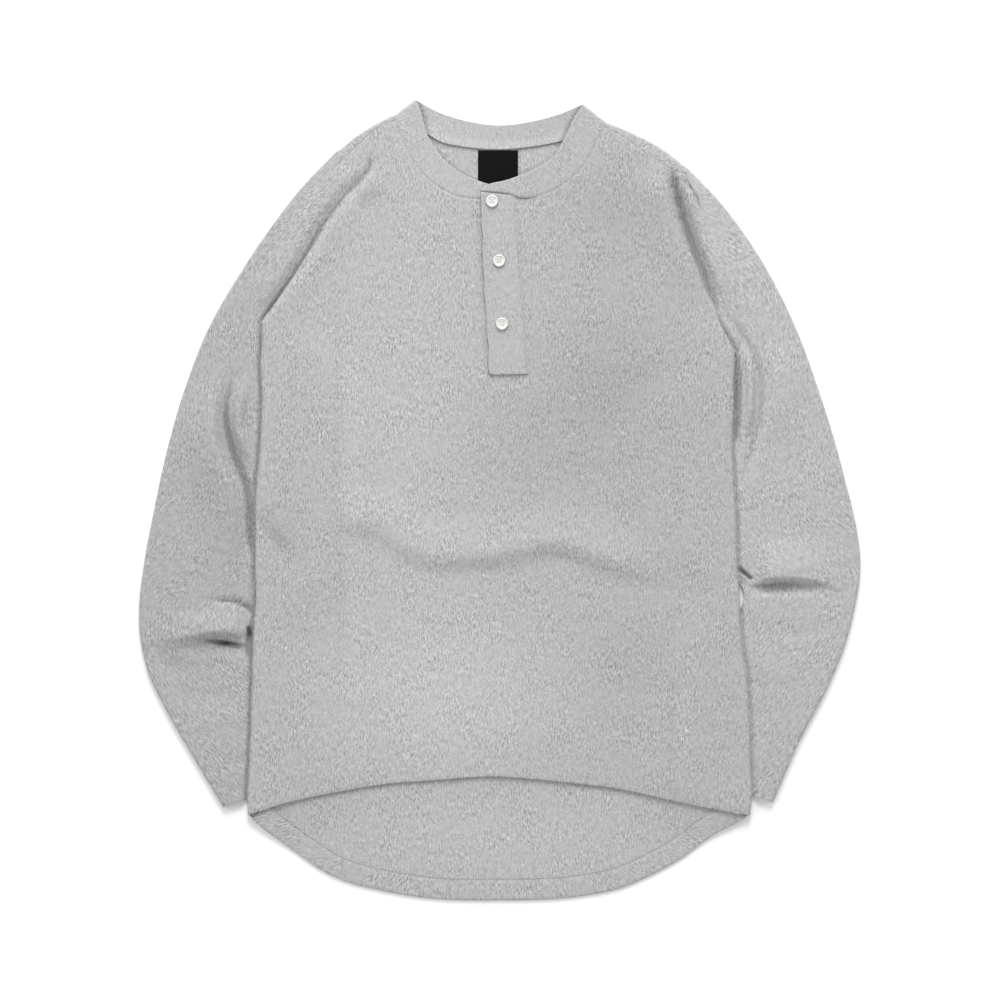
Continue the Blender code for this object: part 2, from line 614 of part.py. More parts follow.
def build_sleeve(name, side, collection):
    """A sleeve as a flattened tube from its armhole to its open cuff."""
    sections, places = sleeve_stations(side)
    head = sleeve_head(side)
    outer, inner = sections[:, :2], sections[:, 2:]
    out_from_outer = (outer - inner) / np.linalg.norm(inner - outer, axis=1)[:, None]
    out_from_inner = left_of(inner) * -side.sign
    outer = outer - out_from_outer * CAP_REACH
    inner = inner - out_from_inner * CAP_REACH
    fading = np.clip(1.0 - places / CAP_FADE, 0.0, 1.0)[:, None, None] ** 2

    reached = run_lengths(np.concatenate([outer[:1], head, inner[:1]]))
    upper_shares = reached / reached[-1]
    bend = np.zeros((1, len(upper_shares), 2))
    bend[0, 1:-1] = head - (outer[0] + (inner[0] - outer[0]) * upper_shares[1:-1, None])

    def across(shares):
        """Points at shares of each section from the outer to the inner folded edge."""
        return outer[:, None] + (inner - outer)[:, None] * np.array(shares)[None, :, None]

    upper = across(upper_shares) + bend * fading
    lower_bend = np.stack([np.interp(LOWER_SHARES, upper_shares, axis) for axis in bend[0].T], axis=1)
    lower = across(LOWER_SHARES) + lower_bend * fading
    ring = np.concatenate([
        np.dstack([upper, ON_TABLE + sleeve_level(upper, side)]),
        folded_edge(inner, out_from_inner, side, 1),
        np.dstack([lower, np.full(lower.shape[:2], ON_TABLE)]),
        folded_edge(outer, out_from_outer, side, -1),
    ], axis=1)
    return cloth(name, [sheet(ring, closed=True)], KNIT, KNIT_FINISH, collection)


# ---------------------------------------------------------------- neckband and placket

def lap(x):
    """1 where the neckband's left end lies over its right one, 0 on the panel."""
    return 1.0 - smooth((x - BAND_LAP[0]) / BAND_LAP[1])


def band_fold(plan, outward):
    """Turn of the band at a neck tip: half a circle from the back up to the front."""
    radius = BODY_GAP / 2
    rows = []
    for degrees in reversed(FOLD_ARC):
        angle = math.radians(degrees)
        moved = plan + outward * radius * math.cos(angle)
        level = np.full(len(plan), ON_TABLE + radius * (1 + math.sin(angle)))
        rows.append(np.column_stack([moved, level]))
    return np.stack(rows)


def band_seam(side, end):
    """Seam edge of the band: along the panel's neck line, then on to the band's end."""
    line = curve(side.neck, NECK_COUNT)
    line[:-1] -= side.sign * left_of(line)[:-1] * GAP / 2
    line[-1, 1] += GAP
    return np.concatenate([line, np.array(end, float)])


def band_part(seam, edge):
    """Rulings of the band from its seam to its free edge."""
    edge = curve(edge, len(seam))
    share = spread(0, 1, BAND_ACROSS)[None, :, None]
    return seam[:, None] * (1 - share) + edge[:, None] * share


def build_neckband(collection):
    """One strip: right end at the placket, round the back of the neck, left end on top."""
    right = band_part(band_seam(RIGHT, BAND_END_R), BAND_EDGE_R)[::-1]
    left = band_part(band_seam(LEFT, BAND_END_L), BAND_EDGE_L)
    back = band_part(curve(BAND_SEAM_BACK, BACK_NECK_COUNT), BAND_EDGE_BACK)
    turn_in = BODY_GAP / 2 + DOUBLED / 2
    back[0] -= TIP_OUT_R * turn_in
    back[-1] -= TIP_OUT_L * turn_in
    right[-1], left[0] = back[0], back[-1]
    over = (DOUBLED + GAP) * lap(left[..., 0])
    parts = [
        np.dstack([right, front_height(right[..., 0], right[..., 1])]),
        band_fold(back[0], TIP_OUT_R)[::-1],
        np.dstack([back, back_height(back[..., 0], back[..., 1]) + (DOUBLED - KNIT) / 2]),
        band_fold(back[-1], TIP_OUT_L),
        np.dstack([left, front_height(left[..., 0], left[..., 1]) + over]),
    ]
    return cloth("neckband", [sheet(np.concatenate(parts))], DOUBLED, KNIT_FINISH, collection)


def build_placket_under(collection):
    """Under strip of the placket: fills the slit, level with the front."""
    top, foot = np.array(SLIT_TOP), np.array(SLIT_FOOT)
    top[:, 1] = min(top[:, 1]) - 2 * GAP
    foot[:, 1] += 2 * GAP
    inward = np.array([[2 * GAP, 0.0], [-2 * GAP, 0.0]])
    top, foot = top + inward, foot + inward
    down = spread(0, 1, PLACKET_ROWS)[:, None, None]
    across = spread(0, 1, BAND_ACROSS)[None, :, None]
    sides = top * (1 - down) + foot * down
    plan = sides[:, :1] * (1 - across) + sides[:, 1:] * across
    x, y = plan[..., 0], plan[..., 1]
    points = np.dstack([x, y, front_height(x, y)])
    return cloth("placket_under", [sheet(points)], KNIT, KNIT_FINISH, collection)


def placket_level(x, y):
    """Middle of the over strip of the placket, one layer above the front."""
    return front_height(x, y) + KNIT / 2 + GAP + DOUBLED / 2


def build_placket_over(collection):
    """Over strip of the placket: free edge at the wearer's right, box end at its foot."""
    (top_left, top_right), (foot_left, foot_right) = PLACKET_TOP, PLACKET_FOOT
    down = spread(0, 1, PLACKET_ROWS)[:, None, None]
    across = np.array(PLACKET_SHARES)[None, :, None]
    upper = np.array(top_left) * (1 - across) + np.array(top_right) * across
    lower = np.array(foot_left) * (1 - across) + np.array(foot_right) * across
    plan = upper * (1 - down) + lower * down
    plan[-1, 0, 1] += PLACKET_CORNER
    x, y = plan[..., 0], plan[..., 1]
    points = np.dstack([x, y, placket_level(x, y)])
    return cloth("placket_over", [sheet(points)], DOUBLED, KNIT_FINISH, collection)


def build_label(collection):
    """Plain woven label under the back neck seam."""
    left, right, top, foot = LABEL
    x, y = np.meshgrid(spread(left, right, 5), spread(top, foot, 5))
    level = back_height(x, y) + KNIT / 2 + GAP + WOVEN / 2
    return cloth("label", [sheet(np.dstack([x, y, level]))], WOVEN, LABEL_FINISH, collection)


def build_button(name, x, y, collection):
    """A turned button with a raised rim, resting just above the placket."""
    mesh = bpy.data.meshes.new(name)
    profile = [(radius * MM, 0.0, height * MM) for radius, height in BUTTON_PROFILE]
    edges = [(step, step + 1) for step in range(len(profile) - 1)]
    mesh.from_pydata(profile, edges, [])
    mesh.materials.append(finish(name, BUTTON_FINISH))
    button = bpy.data.objects.new(name, mesh)
    collection.objects.link(button)
    turn = button.modifiers.new("turn", "SCREW")
    turn.steps = BUTTON_SIDES
    turn.render_steps = BUTTON_SIDES
    turn.use_merge_vertices = True
    turn.merge_threshold = 0.00001
    turns = spread(0, 2 * math.pi, BUTTON_SIDES + 1)
    around = placket_level(x + BUTTON_RADIUS * np.cos(turns), y + BUTTON_RADIUS * np.sin(turns))
    level = around.max() + DOUBLED / 2 + GAP
    button.location = Vector((x, y, level)) * MM
    return button


# ---------------------------------------------------------------- the whole shirt

def clear_scene():
    """Remove what the file holds."""
    for item in list(bpy.data.objects):
        bpy.data.objects.remove(item, do_unlink=True)


def centre(pieces):
    """Put the middle of the whole, on the table, at the origin."""
    bpy.context.view_layer.update()
    graph = bpy.context.evaluated_depsgraph_get()
    corners = []
    for piece in pieces:
        solid = piece.evaluated_get(graph)
        corners += [solid.matrix_world @ Vector(corner) for corner in solid.bound_box]
    corners = np.array(corners)
    low, high = corners.min(axis=0), corners.max(axis=0)
    shift = Vector((-(low[0] + high[0]) / 2, -(low[1] + high[1]) / 2, -low[2]))
    for piece in pieces:
        piece.location += shift


def main():
    """Build every piece of the shirt in its collection."""
    clear_scene()
    collection = bpy.data.collections.new("henley_shirt")
    bpy.context.scene.collection.children.link(collection)
    pieces = [
        build_back(collection),
        build_front(collection),
        build_sleeve("sleeve_right", RIGHT, collection),
        build_sleeve("sleeve_left", LEFT, collection),
        build_neckband(collection),
        build_placket_under(collection),
        build_placket_over(collection),
        build_label(collection),
    ]
    pieces += [build_button(name, x, y, collection) for name, x, y in BUTTON_PLACES]
    centre(pieces)


main()
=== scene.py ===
"""Looks of a henley shirt laid flat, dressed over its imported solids.

The tables are in millimetres: X across the shirt, Y from the tail up to the neck, Z up from
the table. Right and left are the wearer's, so the right sleeve lies at -X. Every cloth piece
is a fine middle surface worked out on a grid. Its UV map, "cut", holds where each point was on
the flat knit, with the wales along V, and Solidify gives it its wall.
"""

import math
from collections import namedtuple

import bmesh
import bpy
import numpy as np
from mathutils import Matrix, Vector


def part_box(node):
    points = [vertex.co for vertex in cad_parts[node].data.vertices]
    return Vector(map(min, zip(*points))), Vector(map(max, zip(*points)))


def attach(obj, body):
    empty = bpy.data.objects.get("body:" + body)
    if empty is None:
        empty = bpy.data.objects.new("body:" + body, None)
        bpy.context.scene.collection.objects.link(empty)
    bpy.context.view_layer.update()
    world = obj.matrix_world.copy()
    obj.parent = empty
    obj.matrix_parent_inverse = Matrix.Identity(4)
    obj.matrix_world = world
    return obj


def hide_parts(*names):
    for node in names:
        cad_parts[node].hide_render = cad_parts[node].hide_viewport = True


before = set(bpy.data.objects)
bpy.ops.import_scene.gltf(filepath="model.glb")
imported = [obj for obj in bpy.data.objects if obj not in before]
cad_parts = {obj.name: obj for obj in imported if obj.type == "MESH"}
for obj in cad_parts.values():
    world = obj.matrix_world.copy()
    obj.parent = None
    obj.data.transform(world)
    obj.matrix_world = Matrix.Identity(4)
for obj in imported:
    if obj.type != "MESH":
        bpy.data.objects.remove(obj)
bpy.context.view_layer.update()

MM = 0.001


def beside(edge, offset):
    """The line of an edge, moved along X."""
    return tuple((x + offset, y) for x, y in edge)


# Cloth
KNIT = 1.2                      # one layer of the knit
DOUBLED = 1.6                   # doubled and pressed: neckband and placket
WOVEN = 0.6                     # the label
GAP = 0.3                       # clearance between neighbouring pieces
ON_TABLE = KNIT / 2             # a knit layer that rests on the table
RIM_SHARE = 0.35                # share of the wall's thickness rounded off at a rim
RIM_SEGMENTS = 2                # in this many steps
RIM_ANGLE = 60                  # and a rim turns by more than these degrees
WELD = 1e-6                     # points nearer than this, in metres, become one

# How the layers lie, middle to middle
BODY_GAP = 3.2                  # back to front
HEM_GAP = 2.8                   # back to front at the hem, with the front's turned hem between
HEM_CORNER = 1.2                # and more at the side seams, where the back's turned hem is too
HEM_CORNER_AT = (195.0, 35.0)   # from this far out, over this length
HEM_REACH = 45.0                # where the front begins to rise to its hem
SLEEVE_FLAT = 1.6               # the sleeve's two walls below the body
SLEEVE_LOFT = 4.4               # the sleeve's two walls in the open
OPEN_START = 0.6                # a sleeve begins to open this far out from the body's edge
OPEN_REACH = 6.0                # has its full loft over this length
OWN_REACH = 2.0                 # and its own creases' full height over this one
ARMHOLE_FADE = 24.0             # the creases shared with the front fade in above the underarm
SLEEVE_MIN = KNIT + GAP         # the sleeve's walls never meet
TUCK_LIFT = SLEEVE_FLAT + KNIT + 1.5 * GAP
TUCK_RAMP = 62.0                # the body slopes down beside a sleeve below it
TUCK_MARGIN = 10.0              # the lift is whole this far past the sleeve
CAP_LEVEL = (205.0, 90.0)       # sleeve head: from here up, over this length, level with the body

# Turned hems
HEM_DEPTH = 21.0
HEM_LAYER = KNIT + GAP / 4
HEM_DEPTHS = np.array([0.0, 3.0, 6.0, 9.0, 12.0, 15.0, 17.6, 18.6, 19.2, 19.6, 20.2, HEM_DEPTH])
HEM_STITCH = 19.3               # the stitches draw it down along this depth
HEM_DIP = 0.4                   # by this much
HEM_DIP_REACH = 1.7             # easing off over this distance on both sides
HEM_DIP_SHADE = 0.2             # and painted shade darkens them by this share
HEM_ARC = (-90, -60, -30, 0, 30, 60, 90)   # degrees round the folded edge
HEM_INSET = 8                   # columns at each side seam that the front's turned hem leaves free
HEM_END = 3.0                   # the back's turned hem stops this far from the side seam

# Rolled edge of the body: steps in from the edge
EDGE_STEPS = np.array([0.0, 0.2, 0.5, 1.0, 1.6, 2.5, 3.6])
EDGE_ROLL = EDGE_STEPS[-1]
SHOULDER_ROLL = 0.06            # share of the roll left at the shoulder
ROLL_FADE = 0.6                 # share of the armhole over which it fades
ROLL_WALL = 0.35                # power of that share by which the rolled wall stands out
STEEPEST = 0.3                  # the rolled edge's steps are no longer than 1 / 0.3 down a column
BACK_INSET = 2.0                # the back's edge inside the front's rolled edge
FOLD_OVER = (2.5, 0.2)          # the shoulder flap laps over the sleeve and the neckband: its fold
SEAM_OVER = (0.8, 0.2)          # and its seam edge
SHOULDER_ARC = (-60, -30, 0, 30, 60, 90)    # degrees round the shoulder
FLAP_SHARES = (0.3, 0.6, 0.8, 0.9, 0.95, 1.0)   # rows of the flap from there to the seam
FLAP_GROOVE = 0.8               # it sinks to the seam from this share on

SIDE_REACH = 0.42               # share of a panel's width that bends with its side

# How many points each part of an edge has, and each panel's rows
FINE_COUNT = 600                # a smooth curve before it is divided
ARMHOLE_COUNT = 30
SHOULDER_COUNT = 20
NECK_COUNT = 36
BACK_NECK_COUNT = 56
SLIT_ROWS = 44
SKIRT_ROWS = 112
BACK_ROWS = 180

# Outline of the body, from the neck point down. R is the wearer's right, at -X.
ARMHOLE_R = ((-238, 178), (-200, 233), (-170, 285), (-164, 310), (-161, 337))
ARMHOLE_L = ((235, 148), (228.5, 160), (220.5, 175), (213, 196), (207.5, 222), (204, 250),
             (200, 283), (194, 305), (187, 324))
SHOULDER_SEAM_R = ((-161, 337), (-147, 350), (-129, 367), (-115, 376), (-105.5, 379.5))
SHOULDER_SEAM_L = ((187, 324), (175, 329), (159, 337.8), (140, 350.5), (121, 364.5), (105.5, 373))
SHOULDER_FOLD_R = ((-161.5, 349), (-152, 357), (-140, 366), (-120, 378), (-108, 384))
SHOULDER_FOLD_L = ((186, 332), (178, 338.5), (163, 350), (140, 363), (120, 372), (108, 376.5))
NECK_R = ((-105.5, 379.5), (-98, 360), (-88, 340), (-75, 324), (-60, 312), (-45, 304),
          (-14, 301))
NECK_L = ((105.5, 373), (99, 362), (89, 342), (75, 325), (60, 313), (45, 306), (26, 302.3),
          (12, 304.5))
NECK_BACK = ((-106.5, 381), (-90, 373.5), (-73, 365.5), (-60, 358), (-35, 352.5), (0, 350),
             (30, 352.5), (62, 358.5), (85, 365.5), (106.5, 374.5))
SIDE_R = ((-238, 178), (-237.6, 154), (-239, 136), (-237.8, 106), (-238.6, 74), (-240.4, 42),
          (-243.5, 10), (-244.4, -20), (-244.5, -50), (-244.6, -72), (-243.8, -100), (-246.2, -130),
          (-247.4, -170), (-248.5, -210), (-250.2, -260), (-252.1, -292), (-252, -315))
SIDE_L = ((235, 148), (233.6, 122), (233.3, 92), (231.9, 60), (233.1, 28), (236, -20), (237.2, -66),
          (239.6, -96), (239.9, -114), (242.2, -148), (246.8, -180), (248.8, -212), (250.1, -240),
          (251, -275), (252, -294), (250, -315))
HEM_FRONT = ((-252, -315), (-229, -306), (-201, -298.5), (-158, -290), (-115, -283), (-63, -279),
             (-12, -275.5), (62, -281), (125, -289), (170, -299), (214, -308), (250, -315))
HEM_BACK = ((-250, -317), (-241, -324.5), (-207, -350), (-169, -375), (-155, -381), (-120, -390),
            (-80, -397), (0, -400), (80, -396), (120, -388), (140, -380), (178, -360),
            (216, -333), (237, -322), (248, -316))

# Placket: a slit in the front, cut out as a narrow notch
SLIT_TOP = ((-14.0, 301.0), (12.0, 304.5))
SLIT_FOOT = ((-6.0, 134.0), (21.0, 137.5))
PLACKET_TOP = ((-20.0, 308.0), (16.0, 304.0))
PLACKET_FOOT = ((-11.0, 125.0), (29.0, 125.5))
PLACKET_CORNER = 3.0            # rounded lower free corner

# Neckband: its free edge, and its ends past the panel's neck line. The right end lies under
# the left one at the placket.
BAND_EDGE_R = ((-83, 398.5), (-79, 388), (-73, 366), (-62, 348), (-53, 337), (-37, 326), (-22, 319),
               (-9, 315), (12, 313))
BAND_END_R = ((-2, 301.3), (12, 301.3))
BAND_EDGE_L = ((82, 394), (75.2, 384), (63, 359), (51.7, 342), (40, 334), (26, 327), (5, 319),
               (-10, 315.5), (-18.5, 311.5))
BAND_END_L = ((5, 306.5), (-8, 308), (-19.5, 309))
BAND_SEAM_BACK = ((-107.2, 383.2), (-90, 374), (-73, 366), (-60, 358.5), (-35, 353), (0, 350.5),
                  (30, 353), (62, 359), (85, 366), (107.5, 376))
BAND_EDGE_BACK = ((-85, 400), (-60, 387), (-30, 378), (0, 374.5), (30, 378), (60, 386), (83, 395.5))
BAND_LAP = (24.0, 18.0)         # full lap up to this X, then down to the panel over this length
TIP_OUT_R = np.array([-0.59, 0.81])     # out from the fold at each neck tip
TIP_OUT_L = np.array([0.61, 0.79])

# Sleeves, a row for each section: the outer fold, then the inner one, X and Y
SLEEVE_R = (
    (-162.5, 348.5, -238.5, 178),
    (-195.5, 314.5, -238, 174),
    (-226.5, 275, -236, 170),
    (-260, 225, -228, 160),
    (-289, 175, -205, 140),
    (-314, 112, -178, 104),
    (-332, 50, -168, 50),
    (-345, -10, -178, -10),
    (-356, -70, -202, -75),
    (-360, -110, -234, -116),
    (-359, -136, -245, -134),
    (-351, -172, -244, -146),
    (-333, -210, -236, -168),
    (-306.5, -256, -216, -219),
    (-276, -307, -194, -279),
)
SLEEVE_L = (
    (187, 331, 235.5, 148),
    (217, 300, 236, 143),
    (254, 250, 234, 136),
    (277, 210, 222, 122),
    (299, 162, 200, 104),
    (316, 115, 180, 84),
    (332, 65, 168, 52),
    (345, 17, 168, 14),
    (356, -30, 184, -28),
    (359.5, -62, 212, -60),
    (358, -85, 238, -82),
    (354, -107, 244, -94),
    (345, -142, 240, -112),
    (330, -180, 229, -139),
    (299, -240, 208, -205),
    (272, -302, 190, -276),
)
SLEEVE_STATIONS = 184
ELBOW_CLEAR = 2.0               # no even section nearer than this to the elbow's own
OUTER_WEIGHT = 0.75             # sections are spaced along a line this near to the outer fold
CAP_FADE = 80.0                 # the armhole's curve fades along the sleeve
CAP_REACH = 2.2                 # how far the folded edges stand out from the flat walls
FOLD_ARC = (66, 44, 22, 0, -22, -44, -66)   # degrees round a fold of a sleeve or the neckband

# Folds: path, half width, height. Ridges are positive and troughs negative.
FRONT_FOLDS = (
    (((-145, -30), (-100, -48), (-70, -60), (-20, -58), (20, -48), (60, -45), (150, -80)), 17, 1.1),
    (((-157, 255), (-158, 100), (-160, -50), (-157, -220)), 9, -0.7),
    (((178, 55), (182, -80), (178, -200), (176, -285)), 9, -0.6),
    (((-225, -30), (-212, -55), (-198, -85)), 12, -1.0),
    (((-136, 345), (-129, 335), (-142, 317), (-154, 300)), 10, -1.2),
    (((-158, 305), (-140, 298), (-126, 288)), 18, -0.9),
    (((172, 320), (196, 262), (216, 198)), 10, -1.5),
    (((-60, 120), (0, 108), (70, 100)), 22, 0.5),
)

# Each side of the shirt: its letter in the tables, its sign in X, its edges, its sleeve and the
# elbow's row in that, and how far the armhole's slope stretches the steps of the rolled edge
Side = namedtuple("Side", "letter sign armhole shoulder_seam shoulder_fold neck side_seam sleeve "
                          "elbow stretch")
RIGHT = Side("R", -1, ARMHOLE_R, SHOULDER_SEAM_R, SHOULDER_FOLD_R, NECK_R, SIDE_R, SLEEVE_R,
             10, 1.8)
LEFT = Side("L", 1, ARMHOLE_L, SHOULDER_SEAM_L, SHOULDER_FOLD_L, NECK_L, SIDE_L, SLEEVE_L,
            10, 3.2)

FOLD_SAMPLES = 90               # points along the path of a fold or a crease
FOLD_TAPER = 0.3                # share of a fold's length that fades at each end

# Label
LABEL = (-22.0, 18.0, 349.5, 304.0)      # left, right, top, foot
LABEL_COUNT = (25, 29)          # points across and down

# Buttons, from the middle of each one's foot
BUTTON_NODES = ("button_top", "button_middle", "button_bottom")
BUTTON_TURN = 56                # points round a button
BUTTON_RINGS = (0.3, 0.6, 0.9, 1.2, 1.5, 1.8, 2.1, 2.4, 2.8, 3.2, 3.6, 4.0, 4.4, 4.8, 5.2, 5.6,
                5.95, 6.15, 6.25)       # radii on its upper face
BUTTON_BELOW = ((6.1, 0.55), (5.6, 0.3), (3.2, 0.0))    # and below it: radius and height
BUTTON_FACE = 1.5               # height of the dish
RIM_HEIGHT, RIM_PLACE, RIM_WIDTH = 0.8, 5.1, 0.75       # of the rim that stands above it
EDGE_LEVEL, EDGE_PLACE, EDGE_WIDTH = 1.15, 5.2, 1.05    # and of its rounded outer edge
HOLE_PLACE = 1.25               # each hole's centre from the button's, in X and in Y
HOLE_RADIUS = 0.62
HOLE_DEPTH = 1.1
HOLE_FLOOR, HOLE_WALL = 0.6, 0.7        # shares of that radius: flat floor and sloping wall

# Stitches
STITCH_SIDES = 6                # points round a thread
# Its rings: place along it and width, as shares of its length and its radius
STITCH_RINGS = np.array([(-0.5, 0.35), (-0.36, 0.95), (0.0, 1.0), (0.36, 0.95), (0.5, 0.35)])
STITCH_AHEAD = 0.4              # it follows its line's course over this distance each way
STITCH_SUNK = 0.05              # and sinks this far into the cloth
STITCH_RADIUS = 0.24
PLACKET_PITCH, PLACKET_STITCH = 2.6, 1.7        # from stitch to stitch, and a stitch's length
PLACKET_SEAMS = (((14.5, 296.0), (27.4, 127.2)), ((27.4, 127.2), (-8.6, 127.2)),
                 ((26.6, 133.5), (-8.4, 133.5)), ((-17.9, 297.0), (-9.2, 128.6)))
TAIL_PITCH, TAIL_STITCH = 3.0, 2.1
TAIL_FREE = 14.0                # no stitches nearer than this to the start of the tail's edge
TAIL_HALF = 226.0               # nor further than this from the middle
BAR_LEVEL, BAR_LENGTH, BAR_RADIUS = 1.62, 2.6, 0.26     # thread from hole to hole of a button

# Fine creases that the solids leave out: path, reach on its left, reach on its right, height,
# and the shares of its length over which it fades at its start and at its end. A short reach
# on one side and a long one on the other makes the lip of an overlapping fold.
FRONT_CREASES = (
    (((-176, -10), (-148, -18), (-115, -27), (-90, -44), (-65, -52), (-35, -51), (0, -52),
      (25, -43), (50, -40), (75, -43), (100, -55), (125, -62), (154, -70), (180, -78)),
     42, 22, 3.5, 0.12, 0.15),
    (((-244, -8), (-232, -26), (-215, -45), (-206, -62), (-200, -80)), 18, 20, -1.0, 0.15, 0.5),
    (((-160, 300), (-162, 80), (-162, -30), (-158, -120), (-157, -278)), 8, 5, -0.5, 0.3, 0.05),
    (((180, 58), (180, -10), (177, -90), (173, -180), (171.5, -230), (172, -292)),
     7, 5, -0.45, 0.3, 0.05),
    (((-21, 307), (-16.5, 216), (-12, 127)), 3, 4.5, -0.8, 0.05, 0.1),
    (((-13, 121), (8, 119.5), (31, 121)), 3, 5, -0.6, 0.15, 0.2),
    (((-150, 288), (-132, 299), (-112, 315)), 16, 24, -0.8, 0.4, 0.4),
    (((-60, 60), (-20, 20), (34, 8)), 20, 26, -0.3, 0.4, 0.4),
    (((-236, 120), (-214, 60), (-222, -10)), 12, 16, 0.5, 0.3, 0.3),
    (((-210, -180), (-150, -196), (-90, -190)), 18, 22, 0.45, 0.3, 0.3),
    (((90, -170), (140, -190), (215, -186)), 22, 16, -0.5, 0.3, 0.3),
    (((-40, -220), (20, -232), (90, -226)), 20, 24, 0.3, 0.3, 0.3),
    (((60, 235), (105, 250), (150, 240)), 18, 14, 0.4, 0.3, 0.3),
    (((40, 60), (90, 44), (150, 58)), 24, 18, 0.6, 0.3, 0.3),
    (((70, 150), (120, 134), (176, 146)), 22, 18, 0.5, 0.3, 0.3),
)
BACK_CREASES = (
    (((-150, 250), (-60, 262), (40, 250)), 16, 22, 0.5, 0.3, 0.3),
    (((40, 120), (110, 96), (180, 108)), 20, 14, 0.45, 0.3, 0.3),
    (((-120, -20), (-20, -46), (80, -30)), 18, 26, 0.5, 0.3, 0.3),
    (((-60, -170), (30, -182), (110, -160)), 14, 20, 0.4, 0.3, 0.3),
)
# Creases along the armholes, on the front panel and the sleeve alike
ARMHOLE_CREASES = {
    "R": (
        (((-135, 347), (-130, 340), (-132, 330), (-142, 318), (-153, 307), (-164, 293), (-175, 278),
          (-200, 236), (-236, 181)), 4.5, 4.5, -1.6, 0.06, 0.05),
        (((-120, 338), (-124, 326), (-135, 312), (-146, 300), (-157, 286), (-167, 272), (-192, 230),
          (-226, 180)), 24, 7, 2.0, 0.2, 0.3),
        (((-150, 346), (-146, 334), (-152, 323), (-162, 312), (-173, 298), (-184, 283), (-209, 241),
          (-246, 184)), 7, 22, 2.4, 0.2, 0.2),
    ),
    "L": (
        (((171, 334), (174, 320), (178.5, 301), (184.5, 278), (193, 253), (202, 230), (210, 209),
          (218, 191), (226, 175)), 8.4, 8.4, -2.1, 0.07, 0.25),
        (((183, 325), (188.5, 315), (194, 307), (198, 299), (200, 290), (201, 280)), 2.4, 3.4, -1.6,
         0.12, 0.45),
        (((159.5, 340), (162.5, 320), (167.5, 298), (175, 272), (184.5, 246), (194.5, 222),
          (204, 202), (213, 183)), 6.5, 42, 5.3, 0.2, 0.45),
        (((182, 331), (185, 316), (190, 298), (196.5, 274), (204.5, 252), (213.5, 230), (222, 210),
          (229, 194), (236, 178)), 30, 6.5, 5.1, 0.2, 0.45),
    ),
}
FRONT_FINE = FRONT_CREASES + ARMHOLE_CREASES["R"] + ARMHOLE_CREASES["L"]
SLEEVE_CREASES = {
    "R": (
        (((-264, 139), (-267, 122), (-271.5, 104), (-273.5, 90), (-273, 75), (-269, 56), (-264, 40),
          (-258, 26), (-253, 12), (-251, -4), (-250.5, -20), (-249.5, -38), (-248.5, -62)),
         6, 6, -8.0, 0.42, 0.15),
        (((-277, 138), (-284, 108), (-286, 82), (-283, 56), (-277, 34), (-269, 12), (-264, -14),
          (-263, -50), (-266, -92)), 8, 46, 9.0, 0.36, 0.5),
        (((-253, 128), (-259, 100), (-261, 74), (-255, 50), (-249, 34)), 8, 8, 6.0, 0.4, 0.3),
        (((-306, -98), (-290, -100), (-272, -101), (-262, -103), (-254, -107), (-244, -115)),
         5, 5, -4.3, 0.8, 0.03),
        (((-352, -138), (-334, -137.5), (-318, -135.5), (-300, -132), (-285, -130), (-272, -130.5),
          (-262, -132), (-250, -129)), 28, 9.5, 6.4, 0.75, 0.2),
        (((-344, -156), (-326, -150), (-312, -148), (-300, -145), (-285, -142.5), (-272, -143.5),
          (-260, -146), (-246, -149), (-238, -151)), 5, 16, -2.4, 0.6, 0.2),
        (((-304, -140), (-290, -140), (-279, -141.5), (-270, -143.5), (-262, -145.5), (-257, -147)),
         3.5, 5, -5.5, 0.45, 0.15),
        (((-352, -140), (-338, -154), (-324, -166), (-308, -176)), 18, 20, -1.8, 0.4, 0.4),
        (beside(SIDE_R, -1.9), 2.3, 2.4, -4.6, 0.03, 0.03),
        (((-250, -125), (-251, -140), (-250, -166)), 5, 5, -9.0, 0.08, 0.6),
        (((-330, 30), (-318, -18), (-300, -60)), 15, 11, -0.9, 0.3, 0.3),
        (((-336, -186), (-304, -196), (-262, -192)), 12, 15, -0.9, 0.3, 0.3),
        (((-312, -230), (-282, -218), (-246, -220)), 14, 11, 0.7, 0.3, 0.3),
        (((-286, -266), (-252, -260), (-222, -266)), 11, 14, -0.6, 0.3, 0.3),
    ),
    "L": (
        (((212, 198), (223, 188), (236, 172), (250, 150), (258.6, 129), (261, 106), (260, 83),
          (254, 57), (246, 29), (240, 8)), 7, 6, -2.5, 0.3, 0.2),
        (((237, 146), (238, 132), (239, 118), (239, 104), (238.5, 88), (237.5, 70), (236.5, 50)),
         4.4, 4.4, -9.0, 0.2, 0.25),
        (beside(SIDE_L, 1.7), 2.5, 2.4, -3.2, 0.03, 0.7),
        (((244, 160), (248.5, 140), (250, 120), (250, 100), (248.5, 80), (244, 56)),
         6, 6, 6.6, 0.4, 0.35),
        (((268, 168), (276, 128), (276, 90), (268, 48)), 36, 11, 3.6, 0.4, 0.4),
        (((236, -65), (241, -70), (246, -74.5), (253, -80)), 3.4, 3.4, -9.0, 0.1, 0.2),
        (((253, -79), (268, -77), (284, -76), (304, -77), (328, -82), (352, -91)),
         46, 7, 6.4, 0.22, 0.75),
        (((246, -90), (264, -86), (278, -85), (294, -85), (310, -87), (328, -91), (350, -98)),
         5, 13, -5.4, 0.2, 0.8),
        (((300, 120), (312, 70), (318, 20)), 14, 18, -0.7, 0.3, 0.3),
        (((246, -124), (282, -132), (336, -126)), 14, 18, -0.8, 0.3, 0.3),
        (((240, -158), (276, -172), (312, -164)), 15, 12, 0.7, 0.3, 0.3),
        (((222, -206), (256, -214), (290, -206)), 12, 15, -0.6, 0.3, 0.3),
        (((204, -252), (240, -262), (276, -252)), 14, 12, 0.5, 0.3, 0.3),
    ),
}

